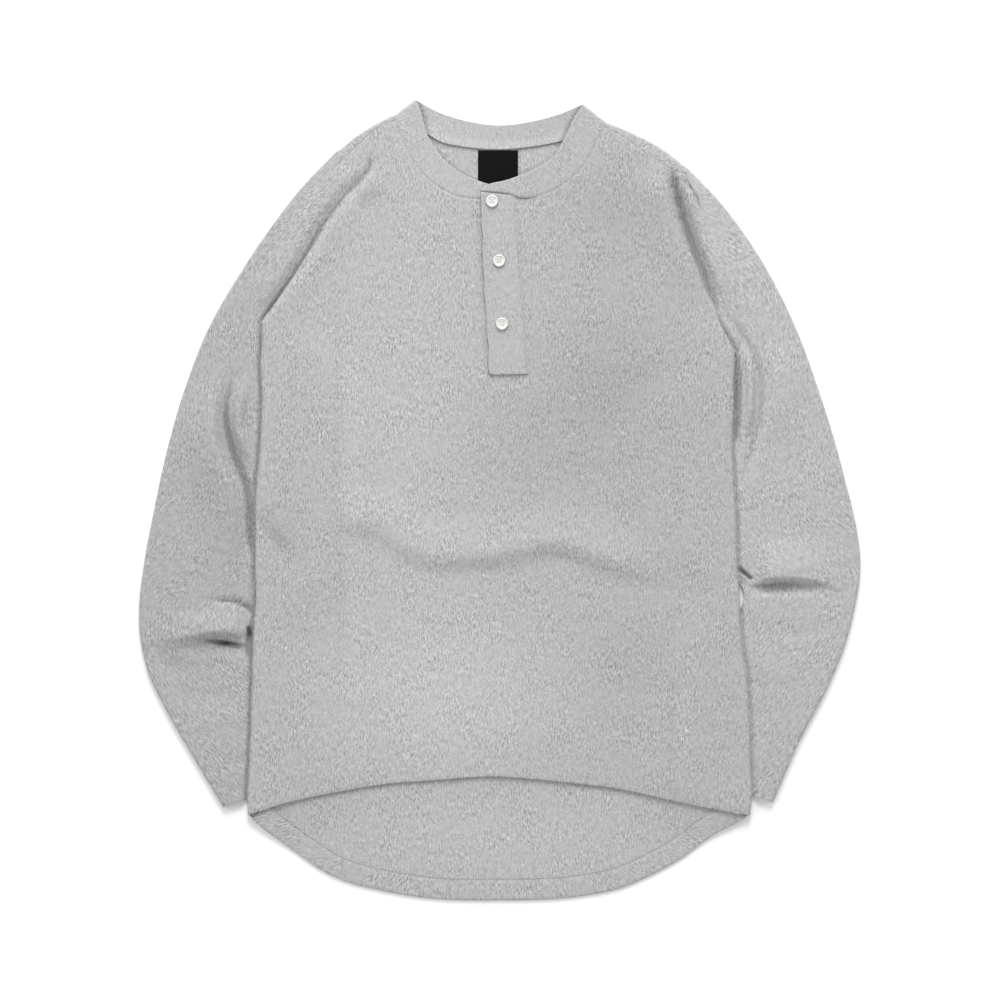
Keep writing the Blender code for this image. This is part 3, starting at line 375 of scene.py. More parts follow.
# Seams that show as soft grooves: depth, and reach to each side
GROOVE = 0.45
GROOVE_REACH = 1.8

# Painted light and shade in the knit's colour: broad drifts that stand in for soft shading, and
# narrow darker spots and streaks painted into creases, gaps and folds. Each row: middle, reach
# along X and Y, share lighter or darker
BODY_PAINTED_SHADING = (
    (-95, 60, 75, 170, 0.07),
    (115, 110, 85, 90, -0.14),
    (10, 50, 60, 50, -0.05),
    (120, 295, 75, 60, -0.13),
    (125, -165, 50, 60, -0.06),
    (-205, 0, 32, 230, -0.03),
    (212, -30, 28, 200, -0.03),
    (-55, -198, 125, 90, 0.16),
    (210, -60, 26, 130, 0.02),
    (-128, 300, 24, 17, -0.035),
    (-222, -38, 20, 28, -0.035),
    (-163.5, 60, 5, 90, -0.05),
    (-158.5, -110, 5, 80, -0.045),
    (-147, -30, 9, 170, 0.04),
    (180.5, 10, 4, 35, -0.04),
    (188, 10, 5, 35, 0.03),
    (171.5, -250, 5, 50, -0.045),
    (187, -240, 6, 60, 0.04),
    (175.5, 315, 5, 10, -0.13),
    (179, 300, 5.5, 10, -0.13),
    (183, 285, 5.5, 10, -0.11),
    (188, 269, 5.5, 10, -0.09),
    (193.5, 253, 5.5, 10, -0.06),
)
BACK_PAINTED_SHADING = (
    (0, -340, 200, 60, 0.11),
)
SLEEVE_PAINTED_SHADING = {
    "R": (
        (-300, 0, 200, 900, -0.082),
        (-295, -220, 60, 60, 0.05),
        (-288, 70, 26, 60, -0.03),
        (-274, -143, 11, 3, -0.46),
        (-292, -151, 30, 7, -0.07),
        (-250, -133, 2.4, 5, -0.12),
        (-250.5, -132, 2.6, 6, -0.4),
        (-310, -160, 24, 14, -0.07),
    ),
    "L": (
        (300, 60, 200, 300, 0.024),
        (295, -120, 60, 90, 0.02),
        (234.5, 110, 3.0, 24, -0.34),
        (234.0, 70, 2.2, 16, -0.15),
        (240.5, -69, 2.6, 2.6, -0.3),
        (244.5, -73, 3.0, 2.8, -0.42),
        (249.5, -77, 3.2, 2.2, -0.25),
    ),
}
BAND_PAINTED_SHADING = (1.02, -0.065)      # painted shading: the band's lightness at the wearer's right, and what is added towards the left
BAND_SHADING_REACH = 60.0          # over this distance on each side of the middle
HOLLOW_SHADE = 0.38             # painted shade: the bottom of a crease is darker by this share
HOLLOW_START = 0.5              # beginning at this depth
SHALLOW = 1.6                   # and whole at this one on the body and round the armholes
DEEP = 5.5                      # and at this one on the sleeves

# Sleeve columns
HEAD_COUNT = 86                 # points along the armhole seam
UNDERARM_COUNT = 20             # and between that seam and the underarm's fold
LOWER_COUNT = 24                # points across the lower wall
HEAD_START = 7.0                # the columns begin 1 / 7 of that seam above the underarm
SEAM_LAP = 0.35                 # the sleeve's edge runs on below the body's at the seam
HEAD_TUCK = 4.0                 # and further at the underarm, where the sleeve goes below the body
HEAD_DRIFT = 0.3                # and up the shirt by this share of that
HEAD_DROP = 0.3                 # and its upper wall sinks there by this share
HEAD_LEVEL = 205.0              # up to this Y
HEAD_FADE = 14.0                # fading over this length
ELBOW_REACH = 34.0              # the elbow's own sections reach this far each way
ELBOW_COUNT = 58                # and are so many

# Which way the wales run on each piece, in degrees from the shirt's length
FRONT_GRAIN = 4.0
BACK_GRAIN = -5.0

# Surface of the neckband: shares of its width, crowded at its seam and at its folded free edge
BAND_SHARES = (0.0, 0.015, 0.035, 0.06, 0.1, 0.15, 0.2, 0.26, 0.32, 0.38, 0.44, 0.5, 0.56, 0.62,
               0.68, 0.74, 0.8, 0.86, 0.9, 0.93, 0.965, 0.985, 1.0)
BAND_BACK_COUNT = 170           # points along its back
END_COUNT = 12                  # and along each end past the panel
BAND_LAP_OVER = 0.35            # its seam edge reaches over the panel's
BAND_DIP = 0.62                 # how far its front dips to the seam
BAND_DIP_SHARE = 0.1            # over this share of its width
EDGE_SOFT = 0.35                # and how far it rounds down at its free edge
EDGE_SHARE = 0.92               # from this share on
TIP_SHADE = 0.32                # painted shadow: its back is darker below its front's edge by this share
TIP_REACH = 6.0                 # fading over this distance from that edge
BACK_SEAM_RIDGE = 1.5           # the seam below its back lifts it
RIDGE_SHARE = 0.4               # over this share of its width
RIDGE_FADE = 0.06               # and this share of its length at each end

# Strips of the placket
PLACKET_ROWS = 90
UNDER_COLUMNS = 13
PLACKET_COLUMNS = 26
CORNER_SHARE = 0.35             # the rounded corner moves in by this share of the corner's size
PLACKET_WAVE = 0.5              # the free edge waves this far in and out
PLACKET_WAVES = ((9.0, 0.6, 1.0), (31.0, 0.0, 0.7), (53.0, 1.0, 0.5))   # radians, start, share
WAVE_SHARE = 0.2                # over this share of its width
PLACKET_LIFT = 1.8              # and stands up this far
LIFT_WAVE = (7.0, 0.7, 0.3)     # in one wave down it: radians, its middle and its half height
PLACKET_SINK = 1.35             # and the sewn edge sinks this far into the panel
PLACKET_EDGE = 0.16             # both over this share of its width

# Heather knits: name, width of a wale, contrast and relief
BODY_KNIT = ("heather_body", 1.5, 0.36, 0.30)
SLEEVE_KNIT = ("heather_sleeves", 1.6, 0.36, 0.30)
BAND_KNIT = ("heather_band", 1.4, 0.26, 0.22)
# Their patches of noise: width, length and shift. Streaks and slubs are measured in wales.
STREAK = (1.0, 2.6, 3.1)
SLUB = (0.75, 5.0, 17.9)
FIBRE = (0.9, 1.6, 41.3, 2.0)   # and more detail
BLOTCH = (26.0, 34.0, 7.7)
CLUMP = (5.0, 7.0, 23.1)
SHIFT_SLANT = 1.7               # a patch's shift along the wales is this much more
STREAK_SHARE, SLUB_SHARE, FIBRE_SHARE, CLUMP_SHARE = 0.75, 0.55, 0.26, 0.20
BLOTCH_SHARE, BLOTCH_LEVEL = 0.38, 0.72         # the blotches vary the streaks' strength
FIBRE_RELIEF = 0.25             # share of the fibres in the relief
WEAVE = ((260.0, "X"), (200.0, "Y"))            # label: fineness of its warp and its weft

# Colours, linear
KNIT_DARK = (0.217, 0.220, 0.220, 1.0)
KNIT_LIGHT = (0.592, 0.597, 0.594, 1.0)
TAPE_DARK, TAPE_LIGHT = (0.003, 0.003, 0.0035, 1.0), (0.010, 0.010, 0.011, 1.0)
PEARL_DARK, PEARL_LIGHT = (0.56, 0.57, 0.54, 1.0), (0.78, 0.79, 0.76, 1.0)
GREY_DARK, GREY_LIGHT = (0.30, 0.30, 0.30, 1.0), (0.50, 0.50, 0.49, 1.0)
WHITE_DARK, WHITE_LIGHT = (0.62, 0.62, 0.58, 1.0), (0.80, 0.80, 0.76, 1.0)
FLOOR_DARK, FLOOR_LIGHT = (0.925, 0.925, 0.925, 1.0), (0.95, 0.95, 0.95, 1.0)

# Studio, in metres and watts
FLOOR_HALF = 4.0
CAMERA_HEIGHT = 5.0
CAMERA_REACH = 50.0
VIEW_WIDTH = 1.0
SENSOR = 36.0
SURROUND = 0.50                 # strength of the white surroundings
# Lamps: name, place, size, power
LAMPS = (
    ("key", (0.1, 3.3, 1.9), 1.8, 145.0),
    ("right", (3.0, 1.0, 2.0), 1.6, 15.0),
    ("left", (-3.0, 1.0, 2.0), 1.6, 32.0),
    ("fill", (0.3, -2.6, 2.6), 2.4, 22.0),
)


# ---- curves

def spread(first, last, count):
    """Even numbers from first to last."""
    return np.linspace(first, last, count)


def run_lengths(line):
    """Length along a line of points up to each of them."""
    steps = np.linalg.norm(np.diff(line, axis=0), axis=1)
    return np.concatenate([[0.0], np.cumsum(steps)])


def smooth(value):
    """0 below 0, 1 above 1, and an even S between."""
    value = np.clip(value, 0.0, 1.0)
    return value * value * (3.0 - 2.0 * value)


def hermite(knots, values, places):
    """Smooth curve through the values at the knots, read at the places."""
    slopes = np.gradient(values, knots, axis=0)
    cell = np.clip(np.searchsorted(knots, places, side="right") - 1, 0, len(knots) - 2)
    span = (knots[cell + 1] - knots[cell])[:, None]
    part = (places - knots[cell])[:, None] / span
    rest = 1.0 - part
    after = cell + 1
    return ((1 + 2 * part) * rest ** 2 * values[cell] + part * rest ** 2 * span * slopes[cell]
            + part ** 2 * (1 + 2 * rest) * values[after] - part ** 2 * rest * span * slopes[after])


def fine_curve(points):
    """Smooth curve through the points, as a dense line."""
    points = np.array(points, float)
    knots = run_lengths(points)
    return hermite(knots, points, spread(0.0, knots[-1], FINE_COUNT))


def read_line(line, places):
    """Points of a line at the given lengths along it."""
    lengths = run_lengths(line)
    return np.stack([np.interp(places, lengths, axis) for axis in line.T], axis=1)


def curve(points, count, start=()):
    """Evenly spaced points on a smooth curve, with extra ones at the lengths in start."""
    line = fine_curve(points)
    length = run_lengths(line)[-1]
    first = start[-1] if len(start) else 0.0
    places = np.concatenate([start[:-1], spread(first, length, count)])
    return read_line(line, places)


def chain(*lines):
    """One line from several that follow each other."""
    return np.concatenate([lines[0]] + [line[1:] for line in lines[1:]])


def unit(vectors):
    """The vectors, each at a length of 1."""
    return vectors / np.linalg.norm(vectors, axis=-1, keepdims=True)


def left_of(line):
    """Unit vectors to the left of a line's travel."""
    tangent = unit(np.gradient(line, axis=0))
    return np.stack([-tangent[:, 1], tangent[:, 0]], axis=1)


def relief(x, y, folds):
    """Sum of the folds: an even swell across each path that fades at both its ends."""
    total = np.zeros_like(x)
    for path, half_width, height in folds:
        line = curve(path, FOLD_SAMPLES)
        away = np.hypot(x[..., None] - line[:, 0], y[..., None] - line[:, 1])
        along = away.argmin(axis=-1) / (FOLD_SAMPLES - 1)
        ends = smooth(np.minimum(along, 1.0 - along) / FOLD_TAPER)
        total += height * ends * (1.0 - smooth(away.min(axis=-1) / half_width))
    return total


# ---- heights of the layers

def fade(distance):
    """1 up to a distance of 0, then down to 0 over the tuck's ramp."""
    return 1.0 - smooth(distance / TUCK_RAMP)


def tuck(x, y, side):
    """Lift of the body by the sleeve below it: whole over the sleeve, times an even S past each
    of its inner edge, its head and its cuff.
    """
    rows = np.array(side.sleeve, float)
    inner = np.interp(y, rows[::-1, 3], rows[::-1, 2])
    outer_cuff, inner_cuff = rows[-1, :2], rows[-1, 2:]
    slope = (inner_cuff[1] - outer_cuff[1]) / (inner_cuff[0] - outer_cuff[0])
    off_sleeve = side.sign * (inner - x) - TUCK_MARGIN
    above = y - rows[0, 3] - TUCK_MARGIN
    below = outer_cuff[1] + slope * (x - outer_cuff[0]) - y - TUCK_MARGIN
    return TUCK_LIFT * fade(off_sleeve) * fade(above) * fade(below)


def back_height(x, y):
    """Middle of the back panel: on the table, or on the sleeves tucked below it."""
    return ON_TABLE + tuck(x, y, RIGHT) + tuck(x, y, LEFT)


def front_height(x, y):
    """Middle of the front panel: above the back, raised to its hem, with its folds."""
    hem = fine_curve(HEM_FRONT)
    rise = smooth(1.0 - (y - np.interp(x, hem[:, 0], hem[:, 1])) / HEM_REACH)
    at_hem = HEM_GAP + HEM_CORNER * smooth((np.abs(x) - HEM_CORNER_AT[0]) / HEM_CORNER_AT[1])
    return back_height(x, y) + BODY_GAP + (at_hem - BODY_GAP) * rise + relief(x, y, FRONT_FOLDS)


def body_edge(y, side):
    """X of the body's edge at a height of the shirt: side seam, then armhole."""
    line = np.concatenate([fine_curve(side.side_seam)[::-1], fine_curve(side.armhole)[1:]])
    return np.interp(y, line[:, 1], line[:, 0])


def creases(x, y, table):
    """Sum of the creases: across each path an even S falls to 0 over the reach of that side,
    and the whole fades over a share of the path's length at its start and at its end.
    """
    total = np.zeros_like(x)
    for path, left, right, height, start, end in table:
        line = curve(path, FOLD_SAMPLES)
        margin = max(left, right)
        low, high = line.min(axis=0) - margin, line.max(axis=0) + margin
        near = (x > low[0]) & (x < high[0]) & (y > low[1]) & (y < high[1])
        if not near.any():
            continue
        offset = np.stack([x[near], y[near]], axis=-1)[:, None] - line
        nearest = np.hypot(offset[..., 0], offset[..., 1]).argmin(axis=-1)
        picked = offset[np.arange(len(nearest)), nearest]
        away = (picked * left_of(line)[nearest]).sum(axis=-1)
        along = nearest / (FOLD_SAMPLES - 1)
        ends = smooth(along / start) * smooth((1.0 - along) / end)
        reach = np.where(away > 0, left, right)
        total[near] += height * ends * (1.0 - smooth(np.abs(away) / reach))
    return total


# ---- heights with the fine creases

def top_height(x, y):
    """Middle of the front panel, with its fine creases."""
    return front_height(x, y) + creases(x, y, FRONT_FINE)


def under_height(x, y):
    """Middle of the back panel, with its fine creases."""
    return back_height(x, y) + creases(x, y, BACK_CREASES)


def wall_gap(x, y, side):
    """Lower wall to upper wall of a sleeve: flat below the body, full in the open, with its own
    creases and those that it shares with the front, and never less than SLEEVE_MIN.
    """
    outside = side.sign * (x - body_edge(y, side)) - OPEN_START
    level = smooth((y - CAP_LEVEL[0]) / CAP_LEVEL[1])
    base = SLEEVE_FLAT + (BODY_GAP - SLEEVE_FLAT) * level
    gap = base + (SLEEVE_LOFT - base) * smooth(outside / OPEN_REACH)
    own = creases(x, y, SLEEVE_CREASES[side.letter]) * smooth(outside / OWN_REACH)
    above = smooth((y - side.armhole[0][1]) / ARMHOLE_FADE)
    shared = creases(x, y, ARMHOLE_CREASES[side.letter]) * above
    return np.maximum(gap + own + shared, SLEEVE_MIN)


# ---- meshes

# A grid's points, their places on the flat knit, the light and shade painted on them, and the cells
# that it keeps
Grid = namedtuple("Grid", "points cut tone keep", defaults=(1.0, None))
# The tables' zero in the frame, in metres: the label's corner stands in both
LABEL_CORNER = np.array([LABEL[0], LABEL[3], ON_TABLE + KNIT / 2 + GAP])
SHIFT = np.array(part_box("label")[0]) - LABEL_CORNER * MM


def raised(plan, height, more=0.0):
    """Points of a plan, each at the height that belongs to its place, and more above it."""
    level = height(plan[..., 0], plan[..., 1]) + more
    return np.concatenate([plan, level[..., None]], axis=-1)


def rolled(edge, outward, reach, rise, degrees, base):
    """Half an ellipse round a folded edge, a row for each angle: out from the edge by reach
    times the angle's cosine, and up from base by rise times one plus its sine.
    """
    angles = np.radians(degrees)[:, None, None]
    plan = edge + outward * reach * np.cos(angles)
    level = base + rise * (1 + np.sin(angles[..., 0]))
    return np.dstack([plan, np.broadcast_to(level, plan.shape[:2])])


def grain(plan, degrees):
    """Place on the flat knit of points in plan: turned so that the wales run along V."""
    angle = math.radians(degrees)
    x, y = plan[..., 0], plan[..., 1]
    return np.stack([x * math.cos(angle) - y * math.sin(angle),
                     x * math.sin(angle) + y * math.cos(angle)], axis=-1)


def paint_light_and_shade(x, y, table, *hollows):
    """Painted light and shade on the knit: 1, a soft round drift lighter or darker about each row's
    middle that stands in for soft shading, and painted shade at the bottom of the creases. hollows
    holds tables of creases, each with its full depth.
    """
    total = np.ones_like(x)
    # painted shade in the bottom of the creases
    for crease_table, full in hollows:
        depth = -creases(x, y, [row for row in crease_table if row[3] < 0])
        total -= HOLLOW_SHADE * smooth((depth - HOLLOW_START) / (full - HOLLOW_START))
    # painted light and shade drifting about each row's middle
    for middle_x, middle_y, reach_x, reach_y, share in table:
        total += share * np.exp(-((x - middle_x) / reach_x) ** 2 - ((y - middle_y) / reach_y) ** 2)
    return total


def grid_faces(grid, start):
    """Corners of a grid's cells, those that it keeps, counted on from start."""
    rows, columns = grid.points.shape[:2]
    index = np.arange(rows * columns).reshape(rows, columns) + start
    cells = np.stack([index[1:, :-1], index[1:, 1:], index[:-1, 1:], index[:-1, :-1]], axis=-1)
    return cells.reshape(-1, 4) if grid.keep is None else cells[grid.keep]


def add_object(name, data):
    """A new object in the scene, at the origin."""
    item = bpy.data.objects.new(name, data)
    bpy.context.scene.collection.objects.link(item)
    return item


def add_piece(name, mesh, material):
    """A piece at the origin with its material, riding with the shirt."""
    mesh.materials.append(material)
    piece = add_object(name, mesh)
    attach(piece, "root")
    return piece


def surface(name, grids):
    """Mesh of one or more grids, welded where they meet, with its map of the flat knit."""
    starts = np.cumsum([0] + [grid.points[..., 0].size for grid in grids])
    points = np.concatenate([grid.points.reshape(-1, 3) for grid in grids]) * MM + SHIFT
    cuts = np.concatenate([grid.cut.reshape(-1, 2) for grid in grids]) * MM
    faces = np.concatenate([grid_faces(grid, start) for grid, start in zip(grids, starts)])
    used, corners = np.unique(faces, return_inverse=True)
    mesh = bpy.data.meshes.new(name)
    mesh.from_pydata(points[used], [], corners.reshape(faces.shape))
    layer = mesh.uv_layers.new(name="cut")
    layer.data.foreach_set("uv", cuts[faces.ravel()].ravel())
    # painted light and shade on each point, which the knit's material multiplies into its colour
    tone = mesh.attributes.new("tone", "FLOAT", "POINT")
    shades = [np.broadcast_to(grid.tone, grid.points.shape[:2]).ravel() for grid in grids]
    tone.data.foreach_set("value", np.concatenate(shades)[used])
    shape = bmesh.new()
    shape.from_mesh(mesh)
    bmesh.ops.remove_doubles(shape, verts=shape.verts, dist=WELD)
    bmesh.ops.recalc_face_normals(shape, faces=shape.faces)
    shape.to_mesh(mesh)
    shape.free()
    mesh.shade_smooth()
    return mesh


def cloth(name, grids, thickness, material):
    """A cloth piece: its middle surface, given its wall half to each side."""
    piece = add_piece(name, surface(name, grids), material)
    wall = piece.modifiers.new("wall", "SOLIDIFY")
    wall.thickness = thickness * MM
    wall.offset = 0.0
    soft = piece.modifiers.new("soft rim", "BEVEL")
    soft.width = thickness * MM * RIM_SHARE
    soft.segments = RIM_SEGMENTS
    soft.limit_method = "ANGLE"
    soft.angle_limit = math.radians(RIM_ANGLE)
    return piece


def panel(top, bottom, left, right, places):
    """Grid between four edges: straight columns from the top to the bottom, bent with the
    sides, less and less up to the middle. places holds the share of each column at each row.
    """
    u = ((bottom[:, 0] - bottom[0, 0]) / (bottom[-1, 0] - bottom[0, 0]))[None, :, None]
    v = places[:, :, None]
    grid = (1 - v) * top + v * bottom
    sides = ((left, 0, u), (right, -1, 1 - u))
    for edge, column, away in sides:
        line = fine_curve(edge)
        bend = read_line(line, places[:, column] * run_lengths(line)[-1]) - grid[:, column]
        grid = grid + bend[:, None, :] * np.clip(1 - away / SIDE_REACH, 0.0, 1.0)
    return grid


def stitched(depth):
    """1 on the hem's line of stitches, an even S down to 0 on both its sides."""
    return 1.0 - smooth(np.abs(depth - HEM_STITCH) / HEM_DIP_REACH)


def turned_hem(edge, inward, height, direction, degrees, table):
    """Strip round the folded edge and back over one side of the panel: half a circle, then
    flat to the hem's depth. Its knit goes on from the edge, away from the panel.

    edge is the panel's last row, inward its unit vectors into the panel, direction 1 where
    the hem turns up and -1 where it turns down, and degrees the panel's grain.
    """
    radius = HEM_LAYER / 2
    arc, depth = np.radians(HEM_ARC)[:, None, None], HEM_DEPTHS[1:, None, None]
    drawn = stitched(depth[..., 0])
    start = height(edge[:, 0], edge[:, 1])
    points = np.concatenate([
        rolled(edge, -inward, radius, direction * radius, HEM_ARC, start),
        raised(edge + inward * depth, height, direction * (HEM_LAYER - HEM_DIP * drawn)),
    ])
    cuts = np.concatenate([edge - inward * radius * (arc + math.pi / 2),
                           edge - inward * (radius * math.pi + depth)])
    tone = paint_light_and_shade(points[..., 0], points[..., 1], table)
    # painted shade along the drawn-down line of stitches
    tone[len(HEM_ARC):] -= HEM_DIP_SHADE * drawn
    return Grid(points, grain(cuts, degrees), tone)


# ---- front and back

def armhole_line(side):
    """Armhole from the underarm to the shoulder seam: crowded where the body's edge rolls."""
    return curve(side.armhole, ARMHOLE_COUNT, EDGE_STEPS * side.stretch)


def front_top():
    """Upper edge of the front and the columns at which its parts end."""
    parts = (
        armhole_line(RIGHT),
        curve(RIGHT.shoulder_seam, SHOULDER_COUNT),
        curve(RIGHT.neck, NECK_COUNT),
        np.array(SLIT_TOP),
        curve(LEFT.neck, NECK_COUNT)[::-1],
        curve(LEFT.shoulder_seam, SHOULDER_COUNT)[::-1],
        armhole_line(LEFT)[::-1],
    )
    return chain(*parts), np.cumsum([0] + [len(part) - 1 for part in parts])


def front_bottom(ends):
    """Lower edge of the front: crowded at the side seams, in line with the slit."""
    hem = fine_curve(HEM_FRONT)
    top, foot = np.array(SLIT_TOP), np.array(SLIT_FOOT)
    drop = (top[:, 1] - hem[:, 1].max()) / (top[:, 1] - foot[:, 1])
    slit = top[:, 0] + (foot[:, 0] - top[:, 0]) * drop
    steps = len(EDGE_STEPS) - 1
    first, last = hem[0, 0], hem[-1, 0]
    before = spread(first + EDGE_ROLL, slit[0], ends[3] - steps + 1)
    after = spread(slit[1], last - EDGE_ROLL, ends[-1] - ends[4] - steps + 1)
    x = np.concatenate([first + EDGE_STEPS[:-1], before, after, last - EDGE_STEPS[-2::-1]])
    return np.stack([x, np.interp(x, hem[:, 0], hem[:, 1])], axis=1)


def edge_share(ends, count):
    """How far the armhole's edge rolls down at each column: whole at the underarm, an even S
    down to a small share towards the shoulder, and 0 from the shoulder seam on.
    """
    column = np.arange(count)
    along = np.minimum(column / ends[1], (count - 1 - column) / (count - 1 - ends[-2]))
    share = 1.0 - (1.0 - SHOULDER_ROLL) * smooth(along / ROLL_FADE)
    return np.where(along <= 1.0, share, 0.0)


def front_grid():
    """Plan of the front, how far each point rolls down to the back as the round of its edge
    asks, and the columns at which the parts of its upper edge end.
    """
    top, ends = front_top()
    bottom = front_bottom(ends)
    share = edge_share(ends, len(top))
    slope = np.gradient(top, axis=0)
    level = np.abs(slope[:, 0]) / np.linalg.norm(slope, axis=1)
    inset = (share ** ROLL_WALL * KNIT / 2)[:, None]
    top[1:-1] -= (left_of(top) * inset)[1:-1]
    slit = slice(ends[3], ends[4] + 1)
    top[slit] = np.array(SLIT_TOP) - np.array([0.0, GAP])
    wall = np.array([KNIT / 2, 0.0])
    top[0] += wall
    top[-1] -= wall
    length = top[:, 1] - bottom[:, 1]
    crowd = EDGE_STEPS[:, None] / np.clip(level, STEEPEST, 1.0) / length
    foot = (SLIT_TOP[0][1] - SLIT_FOOT[0][1]) / length[ends[3]]
    upper = crowd[-1] + (foot - crowd[-1]) * spread(0, 1, SLIT_ROWS + 1)[1:, None]
    lower = foot + (1 - foot) * spread(0, 1, SKIRT_ROWS + 1)[1:, None] * np.ones(len(top))
    places = np.concatenate([crowd, upper, lower])
    left, right = np.array(RIGHT.side_seam) + wall, np.array(LEFT.side_seam) - wall
    plan = panel(top, bottom, left, right, places)
    roll = 1.0 - np.sqrt(1.0 - (1.0 - EDGE_STEPS / EDGE_ROLL) ** 2)
    down = np.zeros(plan.shape[:2])
    down[:len(roll)] = roll[:, None] * share
    sides = np.zeros(len(top))
    sides[:len(roll)] = roll
    sides[-len(roll):] = roll[::-1]
    return plan, np.maximum(down, sides), ends


def build_front(material):
    """Front panel with its slit and its hem turned under."""
    plan, down, ends = front_grid()
    x, y = plan[..., 0], plan[..., 1]
    high, low = top_height(x, y), back_height(x, y)
    level = high - (high - low) * down
    dip = GROOVE * (1.0 - smooth(EDGE_STEPS / GROOVE_REACH))
    level[:len(dip), ends[1]:ends[-2] + 1] -= dip[:, None]
    points = np.dstack([x, y, level])
    keep = np.ones((points.shape[0] - 1, points.shape[1] - 1), bool)
    keep[:len(EDGE_STEPS) - 1 + SLIT_ROWS, ends[3]] = False
    above, edge = plan[-2:, HEM_INSET:-HEM_INSET]
    hem = turned_hem(edge, unit(above - edge), top_height, -1, FRONT_GRAIN, BODY_PAINTED_SHADING)
    # painted light and shade of the front, with painted shade in its creases
    tone = paint_light_and_shade(x, y, BODY_PAINTED_SHADING, (FRONT_FINE, SHALLOW))
    grids = [Grid(points, grain(plan, FRONT_GRAIN), tone, keep), hem]
    piece = cloth("front_panel", grids, KNIT, material)
    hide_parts("front")
    return piece


def shoulder_line(points, over):
    """A shoulder's line, its two ends drawn out over the sleeve and the neckband."""
    line = curve(points, SHOULDER_COUNT)
    step = run_lengths(line)[1]
    line[0] -= (line[1] - line[0]) * over[0] / step
    line[-1] -= (line[-2] - line[-1]) * over[1] / step
    return line


def shoulder_edges(side):
    """Fold and seam edge of a shoulder, and unit vectors out from the fold. The first of them
    runs along the armhole's end.
    """
    fold = shoulder_line(side.shoulder_fold, FOLD_OVER)
    seam = shoulder_line(side.shoulder_seam, SEAM_OVER)
    outward = left_of(fold) * -side.sign
    outward[0] = unit(fold[0] - seam[0])
    return fold, seam, outward


def back_armhole(side, turn, corner):
    """Armhole of the back: inside the front's rolled edge, ending at the shoulder's corner."""
    line = armhole_line(side)
    line += turn * left_of(line) * BACK_INSET
    line[0] = np.array(side.side_seam[0]) - np.array([side.sign * BACK_INSET, 0.0])
    return np.concatenate([line[:1], line[len(EDGE_STEPS) - 1:-1], corner[None]])


def back_grid():
    """Plan of the back panel and the columns at which its shoulders begin and end."""
    inset = BODY_GAP / 2 + KNIT / 2
    fold_r, _, outward_r = shoulder_edges(RIGHT)
    fold_l, _, outward_l = shoulder_edges(LEFT)
    fold_r -= outward_r * inset
    fold_l -= outward_l * inset
    arm_r = back_armhole(RIGHT, -1, fold_r[0])
    arm_l = back_armhole(LEFT, 1, fold_l[0])
    neck = curve(NECK_BACK, BACK_NECK_COUNT)
    neck[0], neck[-1] = fold_r[-1], fold_l[-1]
    parts = (arm_r, fold_r, neck, fold_l[::-1], arm_l[::-1])
    top = chain(*parts)
    ends = np.cumsum([0] + [len(part) - 1 for part in parts])
    hem = fine_curve(HEM_BACK)
    first, last = hem[0, 0], hem[-1, 0]
    x = np.concatenate([[first], spread(first + HEM_END, last - HEM_END, len(top) - 2), [last]])
    bottom = np.stack([x, np.interp(x, hem[:, 0], hem[:, 1]) + (HEM_LAYER + KNIT) / 2], axis=1)
    wall = np.array([BACK_INSET, 0.0])
    left, right = np.array(RIGHT.side_seam) + wall, np.array(LEFT.side_seam) - wall
    left[0], right[0], left[-1], right[-1] = top[0], top[-1], bottom[0], bottom[-1]
    places = spread(0, 1, BACK_ROWS + 1)[:, None] * np.ones(len(top))
    return panel(top, bottom, left, right, places), ends


def shoulder_flap(row, side):
    """The back rolls over the shoulder, half a circle, and runs forward to the shoulder seam."""
    fold, seam, outward = shoulder_edges(side)
    radius = BODY_GAP / 2
    centre = fold - outward * (radius + KNIT / 2)
    over = rolled(centre, outward, radius, radius, SHOULDER_ARC, ON_TABLE)
    over_cut = row + outward * radius * (np.radians(SHOULDER_ARC)[:, None, None] + math.pi / 2)
    share = np.array(FLAP_SHARES)[:, None]
    last = over[-1, :, :2]
    plan = last * (1 - share[..., None]) + (seam - outward * SEAM_LAP) * share[..., None]
    sunk = GROOVE * smooth((share - FLAP_GROOVE) / (1 - FLAP_GROOVE))
    level = over[-1, :, 2] * (1 - share) + (top_height(plan[..., 0], plan[..., 1]) - sunk) * share
    run = np.linalg.norm(plan - last, axis=2)[..., None]
    points = np.concatenate([raised(row, back_height)[None], over, np.dstack([plan, level])])
    cuts = np.concatenate([row[None], over_cut, over_cut[-1] + outward * run])
    return Grid(points, grain(cuts, BACK_GRAIN))


def build_back(material):
    """Back panel: drop tail with its hem turned up, and shoulders that roll forward."""
    plan, ends = back_grid()
    x, y = plan[..., 0], plan[..., 1]
    level = under_height(x, y)
    level[0], level[-1] = back_height(x[0], y[0]), back_height(x[-1], y[-1])
    points = np.dstack([x, y, level])
    edge = plan[-1, 1:-1]
    hem = turned_hem(edge, left_of(edge), back_height, 1, BACK_GRAIN, BACK_PAINTED_SHADING)
    flap_r = shoulder_flap(plan[0, ends[1]:ends[2] + 1], RIGHT)
    flap_l = shoulder_flap(plan[0, ends[3]:ends[4] + 1][::-1], LEFT)
    # painted light and shade of the back
    grids = [Grid(points, grain(plan, BACK_GRAIN), paint_light_and_shade(x, y, BACK_PAINTED_SHADING)), hem, flap_r, flap_l]
    piece = cloth("back_panel", grids, KNIT, material)
    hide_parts("back")
    return piece


# ---- sleeves

